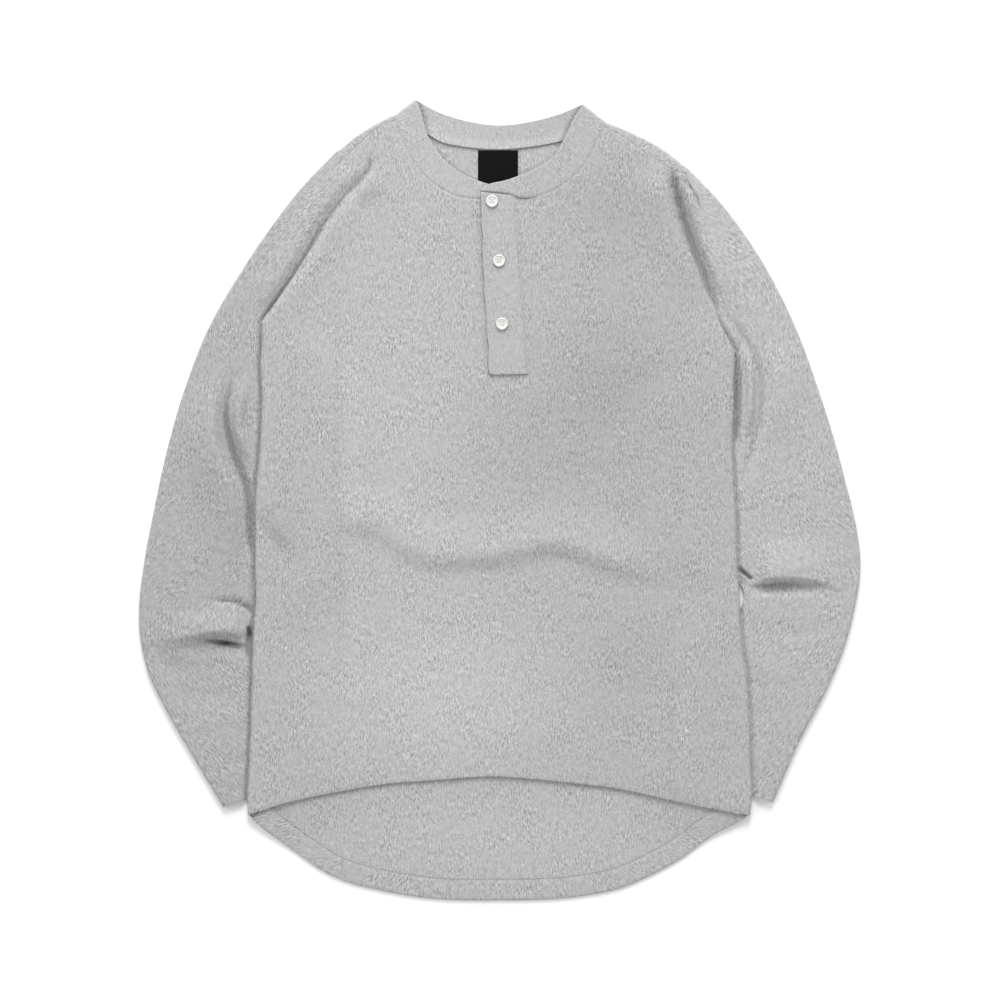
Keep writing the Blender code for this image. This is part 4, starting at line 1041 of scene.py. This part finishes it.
def sleeve_stations(side):
    """Sections along a sleeve: evenly spaced, with more at the elbow."""
    rows = np.array(side.sleeve, float)
    knots = run_lengths(rows[:, :2] * OUTER_WEIGHT + rows[:, 2:] * (1 - OUTER_WEIGHT))
    near = knots[side.elbow] + spread(-ELBOW_REACH, ELBOW_REACH, ELBOW_COUNT)
    even = spread(0, knots[-1], SLEEVE_STATIONS)
    even = even[(even < near[0] - ELBOW_CLEAR) | (even > near[-1] + ELBOW_CLEAR)]
    places = np.sort(np.concatenate([even, near]))
    return hermite(knots, rows, places), places


def sleeve_head(side):
    """Points of the armhole seam at which the sleeve's columns begin, shoulder first."""
    line = fine_curve(side.armhole)
    length = run_lengths(line)[-1]
    start = EDGE_ROLL * side.stretch
    start += (length - start) / HEAD_START
    return read_line(line, spread(length, start, HEAD_COUNT))


def folded_edge(base, outward, side, turn):
    """Half an ellipse round a folded edge of the sleeve, from base and out from it."""
    radius = wall_gap(base[..., 0], base[..., 1], side) / 2
    rows = rolled(base, outward, CAP_REACH, radius, FOLD_ARC[::turn], ON_TABLE)
    return rows.swapaxes(0, 1)


def sleeve_walls(side, outer, inner, places):
    """Plan of the upper and the lower wall: shares of each section from the outer to the inner
    edge, bent to the armhole's curve at the head, and less and less along the sleeve.
    """
    seam = sleeve_head(side)
    gusset = spread(0, 1, UNDERARM_COUNT + 2)[1:-1, None]
    head = np.concatenate([outer[:1], seam, seam[-1] + (inner[0] - seam[-1]) * gusset, inner[:1]])
    shares = run_lengths(head) / run_lengths(head)[-1]
    bend = head - (outer[0] + (inner[0] - outer[0]) * shares[:, None])
    fading = np.clip(1.0 - places / CAP_FADE, 0.0, 1.0)[:, None, None] ** 2
    walls = []
    for share in (shares, spread(1.0, 0.0, LOWER_COUNT)):
        off = np.stack([np.interp(share, shares, axis) for axis in bend.T], axis=1)
        walls.append(outer[:, None] + (inner - outer)[:, None] * share[:, None] + off * fading)
    return walls


def laid_flat(plan, centre, side):
    """Places on the flat knit of a wall: how far off the centre line, and the length run along
    each column, from where the armhole cuts it.
    """
    left = left_of(centre)
    off = ((plan - centre[:, None]) * left[:, None]).sum(axis=-1) * -side.sign
    steps = np.linalg.norm(np.diff(plan, axis=0), axis=2)
    run = np.sqrt(np.maximum(steps ** 2 - np.diff(off, axis=0) ** 2, 0.0))
    onward = np.array([left[0, 1], -left[0, 0]])
    first = ((plan[:1] - centre[0]) * onward).sum(axis=-1)
    return np.dstack([off, np.concatenate([first, first + np.cumsum(run, axis=0)])])


def sleeve_cut(upper, lower, centre, side):
    """Places on the flat knit round a sleeve: the lower wall, the outer fold, the upper wall
    and the inner fold, one after the other.
    """
    beyond = np.array([CAP_REACH * math.pi, 0.0])
    turn = spread(0, 1, len(FOLD_ARC) + 2)[1:-1, None] * beyond
    top, under = laid_flat(upper, centre, side), laid_flat(lower, centre, side)
    outer, inner = top[:, :1], top[:, -1:]
    under[..., 0] = 2 * outer[..., 0] - beyond[0] - under[..., 0]
    return np.concatenate([under, outer - turn[::-1], top, inner + turn, inner + beyond], axis=1)


def armhole_lap(ring, cut, side):
    """The sleeve with a first row that runs on below the body: a little at the seam, further
    and lower at the underarm.
    """
    back = unit(ring[0] - ring[1])
    under = smooth((HEAD_LEVEL - ring[0][:, 1:2]) / HEAD_FADE)
    reach = SEAM_LAP + HEAD_TUCK * under
    inward = back * (1 - under) + np.array([-side.sign, HEAD_DRIFT, 0.0]) * under
    first = ring[0] + inward * reach * np.array([1.0, 1.0, 0.0])
    first[:, 2:] -= (first[:, 2:] - ON_TABLE) * HEAD_DROP * under
    first_cut = cut[0] - reach * np.array([0.0, 1.0])
    return np.concatenate([first[None], ring]), np.concatenate([first_cut[None], cut])


def build_sleeve(name, node, side, material):
    """A sleeve as a flattened tube from its armhole to its open cuff. Its flat knit runs on
    round the outer fold, and its own seam is at the inner one.
    """
    sections, places = sleeve_stations(side)
    outer, inner = sections[:, :2], sections[:, 2:]
    out_from_outer = unit(outer - inner)
    out_from_inner = left_of(inner) * -side.sign
    outer = outer - out_from_outer * CAP_REACH
    inner = inner - out_from_inner * CAP_REACH
    upper, lower = sleeve_walls(side, outer, inner, places)
    top = np.dstack([upper, ON_TABLE + wall_gap(upper[..., 0], upper[..., 1], side)])
    under = np.dstack([lower, np.full(lower.shape[:2], ON_TABLE)])
    round_outer = folded_edge(outer, out_from_outer, side, -1)
    round_inner = folded_edge(inner, out_from_inner, side, 1)
    ring = np.concatenate([under, round_outer, top, round_inner, under[:, :1]], axis=1)
    ring, cut = armhole_lap(ring, sleeve_cut(upper, lower, (outer + inner) / 2, side), side)
    # painted light and shade of the sleeve, with painted shade in its creases
    tone = paint_light_and_shade(ring[..., 0], ring[..., 1], SLEEVE_PAINTED_SHADING[side.letter],
                 (SLEEVE_CREASES[side.letter], DEEP), (ARMHOLE_CREASES[side.letter], SHALLOW))
    piece = cloth(name, [Grid(ring, cut, tone)], KNIT, material)
    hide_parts(node)
    return piece


# ---- neckband and placket

def lap(x):
    """1 where the neckband's left end lies over its right one, an even S down to 0 past it."""
    return 1.0 - smooth((x - BAND_LAP[0]) / BAND_LAP[1])


def band_fold(plan, outward):
    """Turn of the band at a neck tip: half a circle from the back up to the front."""
    return rolled(plan, outward, BODY_GAP / 2, BODY_GAP / 2, FOLD_ARC[::-1], ON_TABLE)


def band_seam(side, end):
    """Seam edge of the band: along the panel's neck line, then on to the band's end."""
    line = curve(side.neck, NECK_COUNT)
    line[:-1] += side.sign * left_of(line)[:-1] * BAND_LAP_OVER
    line[-1, 1] += GAP
    tail = curve(np.concatenate([line[-1:], np.array(end, float)]), END_COUNT)
    return chain(line, tail)


def band_part(seam, edge):
    """Rulings of the band from its seam to its free edge."""
    edge = curve(edge, len(seam))
    share = np.array(BAND_SHARES)[None, :, None]
    return seam[:, None] * (1 - share) + edge[:, None] * share


def build_neckband(material):
    """One strip: right end at the placket, round the back of the neck, left end on top."""
    right = band_part(band_seam(RIGHT, BAND_END_R), BAND_EDGE_R)[::-1]
    left = band_part(band_seam(LEFT, BAND_END_L), BAND_EDGE_L)
    back = band_part(curve(BAND_SEAM_BACK, BAND_BACK_COUNT), BAND_EDGE_BACK)
    turn_in = BODY_GAP / 2 + DOUBLED / 2
    back[0] -= TIP_OUT_R * turn_in
    back[-1] -= TIP_OUT_L * turn_in
    right[-1], left[0] = back[0], back[-1]
    over = (DOUBLED + GAP) * lap(left[..., 0])
    share = np.array(BAND_SHARES)
    profile = BAND_DIP * (1.0 - smooth(share / BAND_DIP_SHARE))
    profile += EDGE_SOFT * smooth((share - EDGE_SHARE) / (1 - EDGE_SHARE)) ** 2
    places = spread(0, 1, len(back))[:, None]
    ends = smooth(np.minimum(places, 1.0 - places) / RIDGE_FADE)
    ridge = BACK_SEAM_RIDGE * (1.0 - smooth(share / RIDGE_SHARE)) * ends
    points = np.concatenate([
        raised(right, front_height, -profile),
        band_fold(back[0], TIP_OUT_R)[::-1],
        raised(back, back_height, (DOUBLED - KNIT) / 2 + ridge),
        band_fold(back[-1], TIP_OUT_L),
        raised(left, front_height, over - profile),
    ])
    along = run_lengths(points[:, len(share) // 2])
    across = np.linalg.norm(points - points[:, :1], axis=2)
    cut = np.dstack([np.repeat(along[:, None], len(share), axis=1), across])
    # painted shading across the band, darker towards the wearer's left
    to_left = smooth((points[..., 0] / BAND_SHADING_REACH + 1.0) / 2)
    tone = BAND_PAINTED_SHADING[0] + BAND_PAINTED_SHADING[1] * to_left
    start = len(right) + len(FOLD_ARC)
    # painted shadow of the front's free edge on the band's back
    for edge in (BAND_EDGE_R, BAND_EDGE_L):
        line = curve(edge, FOLD_SAMPLES)
        away = np.hypot(back[..., :1] - line[:, 0], back[..., 1:2] - line[:, 1]).min(axis=-1)
        tone[start:start + len(back)] -= TIP_SHADE * (1.0 - smooth(away / TIP_REACH))
    piece = cloth("collar_band", [Grid(points, cut, tone)], DOUBLED, material)
    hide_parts("neckband")
    return piece


def strip(top, foot, columns):
    """Even plan of a strip between its top edge and its foot, and the shares down and across."""
    down = spread(0, 1, PLACKET_ROWS)[:, None, None]
    share = spread(0, 1, columns)[None, :, None]
    sides = np.array(top) * (1 - down) + np.array(foot) * down
    return sides[:, :1] * (1 - share) + sides[:, 1:] * share, down, share


def build_placket_under(material):
    """Under strip of the placket: fills the slit, level with the front."""
    top, foot = np.array(SLIT_TOP), np.array(SLIT_FOOT)
    top[:, 1] = min(top[:, 1]) - 2 * GAP
    foot[:, 1] += 2 * GAP
    inward = np.array([[2 * GAP, 0.0], [-2 * GAP, 0.0]])
    plan, _, _ = strip(top + inward, foot + inward, UNDER_COLUMNS)
    # painted light and shade, as on the front
    tone = paint_light_and_shade(plan[..., 0], plan[..., 1], BODY_PAINTED_SHADING)
    grid = Grid(raised(plan, front_height), grain(plan, FRONT_GRAIN), tone)
    piece = cloth("placket_lining", [grid], KNIT, material)
    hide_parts("placket_under")
    return piece


def placket_level(x, y):
    """Middle of the over strip of the placket, one layer above the front."""
    return front_height(x, y) + KNIT / 2 + GAP + DOUBLED / 2


def build_placket_over(material):
    """Over strip of the placket: free edge at the wearer's right, box end at its foot."""
    plan, down, share = strip(PLACKET_TOP, PLACKET_FOOT, PLACKET_COLUMNS)
    from_corner = np.linalg.norm(plan - np.array(PLACKET_FOOT[0]), axis=2)
    corner = smooth(1 - from_corner / (2 * PLACKET_CORNER))
    plan += corner[..., None] * CORNER_SHARE * PLACKET_CORNER
    waves = sum(size * np.sin(down * turns + start) for turns, start, size in PLACKET_WAVES)
    free = (1.0 - smooth(share / WAVE_SHARE)) * waves * PLACKET_WAVE
    plan += free * np.array([1.0, 0.0])
    turns, middle, half = LIFT_WAVE
    lift = (1.0 - smooth(share / PLACKET_EDGE)) * (middle + half * np.sin(down * turns))
    sink = smooth((share - (1 - PLACKET_EDGE)) / PLACKET_EDGE)
    points = raised(plan, placket_level, (PLACKET_LIFT * lift - PLACKET_SINK * sink)[..., 0])
    piece = cloth("placket_strip", [Grid(points, plan)], DOUBLED, material)
    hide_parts("placket_over")
    return piece


def build_label(material):
    """Plain woven label under the back neck seam."""
    left, right, top, foot = LABEL
    across, rows = LABEL_COUNT
    plan = np.dstack(np.meshgrid(spread(left, right, across), spread(top, foot, rows)))
    grid = Grid(raised(plan, back_height, KNIT / 2 + GAP + WOVEN / 2), plan)
    piece = cloth("neck_label", [grid], WOVEN, material)
    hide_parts("label")
    return piece


# ---- buttons

def button_top(radius, turn):
    """Height of a button's upper face: a flat dish inside a rounded rim, four holes in it."""
    face = BUTTON_FACE + RIM_HEIGHT * np.exp(-((radius - RIM_PLACE) / RIM_WIDTH) ** 2)
    edge = np.sqrt(np.clip(1.0 - ((radius - EDGE_PLACE) / EDGE_WIDTH) ** 2, 0.0, 1.0))
    face = np.where(radius > EDGE_PLACE, EDGE_LEVEL + (face - EDGE_LEVEL) * edge, face)
    x, y = radius * np.cos(turn), radius * np.sin(turn)
    away = np.hypot(np.abs(x) - HOLE_PLACE, np.abs(y) - HOLE_PLACE) / HOLE_RADIUS
    return face - HOLE_DEPTH * (1.0 - smooth((away - HOLE_FLOOR) / HOLE_WALL))


def build_button(name, node, material):
    """A four-hole button: rings of radius and height, closed at the middle of each face. Gives
    the middle of its foot, in metres.
    """
    turn = spread(0, 2 * math.pi, BUTTON_TURN + 1)[:-1]
    radius, angle = np.meshgrid(BUTTON_RINGS, turn, indexing="ij")
    below = np.array(BUTTON_BELOW)[:, None]
    radii = np.concatenate([radius, np.repeat(below[..., 0], len(turn), axis=1)])
    levels = [button_top(radius, angle), np.repeat(below[..., 1], len(turn), axis=1)]
    rings = np.dstack([radii * np.cos(turn), radii * np.sin(turn), np.concatenate(levels)])
    index = np.arange(radii.size).reshape(radii.shape)
    after = np.roll(index, -1, axis=1)
    cells = np.stack([index[:-1], index[1:], after[1:], after[:-1]], axis=-1)
    faces = cells.reshape(-1, 4).tolist()
    middle, under = radii.size, radii.size + 1
    points = np.concatenate([rings.reshape(-1, 3), [[0, 0, BUTTON_FACE], [0, 0, 0]]])
    faces += np.column_stack([np.full(len(turn), middle), index[0], after[0]]).tolist()
    faces += np.column_stack([np.full(len(turn), under), after[-1], index[-1]]).tolist()
    low, high = (np.array(corner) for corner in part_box(node))
    foot = np.array([(low[0] + high[0]) / 2, (low[1] + high[1]) / 2, low[2]])
    mesh = bpy.data.meshes.new(name)
    mesh.from_pydata(points * MM + foot, [], faces)
    mesh.shade_smooth()
    piece = add_piece(name, mesh, material)
    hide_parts(node)
    return foot


# ---- threads

def stitches(name, rows, material, length, radius):
    """Stitches as short rounded threads: each is a barrel carried along its own short line.

    rows holds, for each row, the middles of its stitches and their directions, in millimetres.
    """
    places, directions = (np.concatenate(parts) for parts in zip(*rows))
    turn = spread(0, 2 * math.pi, STITCH_SIDES + 1)[:-1]
    forward = unit(directions)
    sideways = unit(np.cross([0.0, 0.0, 1.0], forward))
    upward = np.cross(forward, sideways)
    lead = STITCH_RINGS[:, 0, None, None] * length
    swell = STITCH_RINGS[:, 1, None] * radius
    points = (places[:, None, None] + forward[:, None, None] * lead
              + sideways[:, None, None] * (swell * np.cos(turn))[..., None]
              + upward[:, None, None] * (swell * np.sin(turn))[..., None])
    count, ring, sides = points.shape[:3]
    index = np.arange(ring * sides).reshape(ring, sides)
    after = np.roll(index, -1, axis=1)
    cells = np.stack([index[:-1], after[:-1], after[1:], index[1:]], axis=-1).reshape(-1, 4)
    starts = (np.arange(count) * ring * sides)[:, None, None]
    faces = (cells[None] + starts).reshape(-1, 4).tolist()
    ends = np.stack([index[0][::-1], index[-1]])
    faces += (ends[None] + starts).reshape(-1, sides).tolist()
    mesh = bpy.data.meshes.new(name)
    mesh.from_pydata(points.reshape(-1, 3) * MM + SHIFT, [], faces)
    mesh.shade_smooth()
    return add_piece(name, mesh, material)


def stitch_row(line, pitch, height):
    """Middles and directions of stitches along a line in plan, lying on a height."""
    length = run_lengths(line)[-1]
    places = np.arange(pitch / 2, length, pitch)
    ahead = read_line(line, np.minimum(places + STITCH_AHEAD, length))
    course = ahead - read_line(line, places - STITCH_AHEAD)
    return raised(read_line(line, places), height), np.column_stack([course, np.zeros(len(course))])


# ---- finishes

class Finish:
    """A material under construction: its nodes, and short names for those it is made of."""

    def __init__(self, name):
        self.material = bpy.data.materials.new(name)
        self.material.use_nodes = True
        self.tree = self.material.node_tree
        self.shader = self.tree.nodes["Principled BSDF"]

    def node(self, kind, inputs, **settings):
        """A node with its settings, its sockets linked or set."""
        made = self.tree.nodes.new(kind)
        for key, value in settings.items():
            setattr(made, key, value)
        for socket, value in inputs.items():
            if isinstance(value, bpy.types.NodeSocket):
                self.tree.links.new(value, made.inputs[socket])
            else:
                made.inputs[socket].default_value = value
        return made

    def step(self, kind, first, second, third=0.0):
        """One step of arithmetic."""
        made = self.node("ShaderNodeMath", {0: first, 1: second, 2: third}, operation=kind)
        return made.outputs[0]

    def knit_place(self):
        """Place on the flat knit, in metres."""
        return self.node("ShaderNodeUVMap", {}, uv_map="cut").outputs["UV"]

    def object_place(self):
        """Place in the object's own space, in metres."""
        return self.node("ShaderNodeTexCoord", {}).outputs["Object"]

    def patches(self, place, width, length, shift, detail=1.0):
        """Soft noise in patches of a width and length in millimetres, from -1 to 1."""
        scale = (1 / (width * MM), 1 / (length * MM), 1.0)
        moved = self.node("ShaderNodeMapping", {"Vector": place, "Scale": scale,
                                                "Location": (shift, shift * SHIFT_SLANT, 0.0)})
        noise = self.node("ShaderNodeTexNoise", {"Vector": moved.outputs[0], "Scale": 1.0,
                                                 "Detail": detail}, noise_dimensions="2D")
        even = self.node("ShaderNodeMapRange", {"Value": noise.outputs[0], "From Min": 0.25,
                                                "From Max": 0.75, "To Min": -1.0, "To Max": 1.0})
        return even.outputs[0]

    def mix(self, share, first, second):
        """Colour between two."""
        return self.node("ShaderNodeMix", {"Factor": share, 6: first, 7: second},
                         data_type="RGBA").outputs[2]

    def bump(self, height, distance, strength=1.0):
        """Relief in the surface, of a height in millimetres."""
        made = self.node("ShaderNodeBump", {"Height": height, "Distance": distance * MM,
                                            "Strength": strength})
        self.tree.links.new(made.outputs[0], self.shader.inputs["Normal"])

    def set(self, **values):
        """Constants on the shader's own sockets; an underscore stands for a blank."""
        for key, value in values.items():
            self.shader.inputs[key.replace("_", " ")].default_value = value

    def link(self, socket, value):
        """Links a value to one of the shader's sockets."""
        self.tree.links.new(value, self.shader.inputs[socket])


def heather_knit(name, wale, contrast, relief_height):
    """Grey heather slub knit: streaks and slubs along the wales, in shares, times a strength that
    drifts in blotches, and finer fibres and clumps added. The sum makes the colour between dark and
    light, times the light and shade painted on the piece's points, and the relief.
    """
    made = Finish(name)
    place = made.knit_place()
    streak, slub = (made.patches(place, wale * width, wale * length, shift)
                    for width, length, shift in (STREAK, SLUB))
    fibre, blotch, clump = (made.patches(place, *patch) for patch in (FIBRE, BLOTCH, CLUMP))
    strength = made.step("MULTIPLY_ADD", blotch, BLOTCH_SHARE, BLOTCH_LEVEL)
    streaks = made.step("MULTIPLY", streak, STREAK_SHARE)
    yarn = made.step("MULTIPLY_ADD", slub, SLUB_SHARE, streaks)
    yarn = made.step("MULTIPLY", yarn, strength)
    fibres = made.step("MULTIPLY_ADD", fibre, FIBRE_SHARE, yarn)
    yarn = made.step("MULTIPLY_ADD", clump, CLUMP_SHARE, fibres)
    shade = made.step("MULTIPLY_ADD", yarn, contrast, 0.5)
    # light and shade painted on the piece's points
    drift_and_painted_shading = made.node("ShaderNodeAttribute", {}, attribute_name="tone").outputs["Fac"]
    plain = made.mix(shade, KNIT_DARK, KNIT_LIGHT)
    with_painted_shading = made.node("ShaderNodeVectorMath", {0: plain, 3: drift_and_painted_shading}, operation="SCALE").outputs[0]
    made.link("Base Color", with_painted_shading)
    raised_yarn = made.step("MULTIPLY_ADD", fibre, FIBRE_RELIEF, yarn)
    made.bump(raised_yarn, relief_height, strength=0.8)
    made.set(Roughness=0.95, Sheen_Weight=0.15, Sheen_Roughness=0.6, Specular_IOR_Level=0.2)
    return made.material


def woven_black(name):
    """Black woven tape: fine warp and weft, two sine waves in the cloth's own directions."""
    made = Finish(name)
    place = made.knit_place()
    warp, weft = (made.node("ShaderNodeTexWave", {"Vector": place, "Scale": fineness,
                                                  "Distortion": 0.3, "Detail": 1.0},
                            bands_direction=way).outputs["Fac"] for fineness, way in WEAVE)
    weave = made.step("MULTIPLY", warp, weft)
    made.link("Base Color", made.mix(weave, TAPE_DARK, TAPE_LIGHT))
    made.bump(weave, distance=0.12, strength=0.7)
    made.set(Roughness=0.8, Specular_IOR_Level=0.08)
    return made.material


def pearl_button(name):
    """Milky button: cloudy white with a faint warm and cool drift and a clear gloss."""
    made = Finish(name)
    place = made.object_place()
    cloud = made.node("ShaderNodeTexNoise", {"Vector": place, "Scale": 420.0, "Detail": 3.0,
                                             "Distortion": 1.2})
    made.link("Base Color", made.mix(cloud.outputs[0], PEARL_DARK, PEARL_LIGHT))
    rough = made.node("ShaderNodeMapRange", {"Value": cloud.outputs[0], "To Min": 0.18,
                                             "To Max": 0.34})
    made.link("Roughness", rough.outputs[0])
    made.bump(cloud.outputs[0], distance=0.05, strength=0.4)
    made.set(Coat_Weight=0.4, Coat_Roughness=0.12, Subsurface_Weight=0.1, Subsurface_Scale=0.002)
    return made.material


def sewing_thread(name, dark, light):
    """Twisted thread: slanting bands of two near shades."""
    made = Finish(name)
    place = made.object_place()
    twist = made.node("ShaderNodeTexWave", {"Vector": place, "Scale": 420.0, "Distortion": 0.6},
                      bands_direction="DIAGONAL")
    made.link("Base Color", made.mix(twist.outputs["Fac"], dark, light))
    made.bump(twist.outputs["Fac"], distance=0.05, strength=0.6)
    made.set(Roughness=0.7, Sheen_Weight=0.1)
    return made.material


def pale_floor(name):
    """Pale matt studio floor with the faintest unevenness."""
    made = Finish(name)
    place = made.object_place()
    drift_and_painted_shading = made.node("ShaderNodeTexNoise", {"Vector": place, "Scale": 3.0, "Detail": 2.0})
    made.link("Base Color", made.mix(drift_and_painted_shading.outputs[0], FLOOR_DARK, FLOOR_LIGHT))
    made.set(Roughness=0.9)
    return made.material


# ---- studio

def area_lamp(name, place, size, power):
    """A square soft light that faces the shirt's middle."""
    lamp = bpy.data.lights.new(name, "AREA")
    lamp.size = size
    lamp.energy = power
    item = add_object(name, lamp)
    item.location = place
    item.rotation_euler = Vector(place).to_track_quat("Z", "Y").to_euler()


def build_studio():
    """Pale floor, even white surroundings, four soft square lamps, and the camera above."""
    mesh = bpy.data.meshes.new("floor")
    corners = np.array([(-1, -1, 0), (1, -1, 0), (1, 1, 0), (-1, 1, 0)]) * FLOOR_HALF
    mesh.from_pydata(corners, [], [(0, 1, 2, 3)])
    mesh.materials.append(pale_floor("floor_paint"))
    floor = add_object("floor", mesh)
    world = bpy.data.worlds.new("studio")
    world.use_nodes = True
    background = world.node_tree.nodes["Background"]
    background.inputs["Color"].default_value = (1.0, 1.0, 1.0, 1.0)
    background.inputs["Strength"].default_value = SURROUND
    bpy.context.scene.world = world
    for lamp in LAMPS:
        area_lamp(*lamp)
    camera = bpy.data.cameras.new("camera")
    camera.sensor_width = SENSOR
    camera.lens = SENSOR * CAMERA_HEIGHT / VIEW_WIDTH
    camera.clip_end = CAMERA_REACH
    item = add_object("camera", camera)
    item.location = (SHIFT[0], SHIFT[1], CAMERA_HEIGHT)
    bpy.context.scene.camera = item
    bpy.context.scene.view_settings.view_transform = "Standard"


# ---- rows of stitches

def placket_stitching(thread):
    """Rows of stitches: down the sewn edge of the placket, twice round its box end, and up
    its free edge.
    """
    def on_strip(x, y):
        """Height of a stitch on the over strip."""
        return placket_level(x, y) + DOUBLED / 2 - STITCH_SUNK

    rows = [stitch_row(np.array(line), PLACKET_PITCH, on_strip) for line in PLACKET_SEAMS]
    return stitches("placket_stitches", rows, thread, PLACKET_STITCH, STITCH_RADIUS)


def tail_stitching(thread):
    """Cover stitch along the tail's turned hem, a little inside its raw edge."""
    hem = fine_curve(HEM_BACK)
    inside = hem + left_of(hem) * (HEM_STITCH + (HEM_LAYER + KNIT) / 2)
    clear = np.linalg.norm(hem - hem[0], axis=1) > TAIL_FREE
    inside = inside[clear & (np.abs(inside[:, 0]) < TAIL_HALF)]

    def on_hem(x, y):
        """Height of a stitch on the turned hem, where the stitches draw it down."""
        return back_height(x, y) + HEM_LAYER - HEM_DIP + KNIT / 2 - STITCH_SUNK

    rows = [stitch_row(inside, TAIL_PITCH, on_hem)]
    return stitches("tail_stitches", rows, thread, TAIL_STITCH, STITCH_RADIUS)


def button_threads(feet, thread):
    """Two short bars of thread on each button, from hole to hole."""
    middles = (np.array(feet) - SHIFT) / MM
    offsets = np.array([[0.0, -HOLE_PLACE, BAR_LEVEL], [0.0, HOLE_PLACE, BAR_LEVEL]])
    places = (middles[:, None] + offsets).reshape(-1, 3)
    directions = np.tile([1.0, 0.0, 0.0], (len(places), 1))
    return stitches("button_threads", [(places, directions)], thread, BAR_LENGTH, BAR_RADIUS)


# ---- the whole shirt

def build_shirt():
    """Every piece of the shirt, each sheet of cloth with its map of the flat knit."""
    body, sleeve, band = (heather_knit(*knit) for knit in (BODY_KNIT, SLEEVE_KNIT, BAND_KNIT))
    pearl = pearl_button("milky_button")
    label_cloth = woven_black("label_tape")
    grey_thread = sewing_thread("grey_thread", GREY_DARK, GREY_LIGHT)
    white_thread = sewing_thread("button_thread", WHITE_DARK, WHITE_LIGHT)
    pieces = {
        "back": build_back(body),
        "front": build_front(body),
        "right": build_sleeve("right_sleeve_cloth", "sleeve_right", RIGHT, sleeve),
        "left": build_sleeve("left_sleeve_cloth", "sleeve_left", LEFT, sleeve),
        "band": build_neckband(band),
        "lining": build_placket_under(band),
        "strip": build_placket_over(band),
        "label": build_label(label_cloth),
    }
    feet = [build_button("shirt_" + node, node, pearl) for node in BUTTON_NODES]
    placket_threads = placket_stitching(grey_thread)
    tail_threads = tail_stitching(grey_thread)
    threads = button_threads(feet, white_thread)


build_studio()
build_shirt()
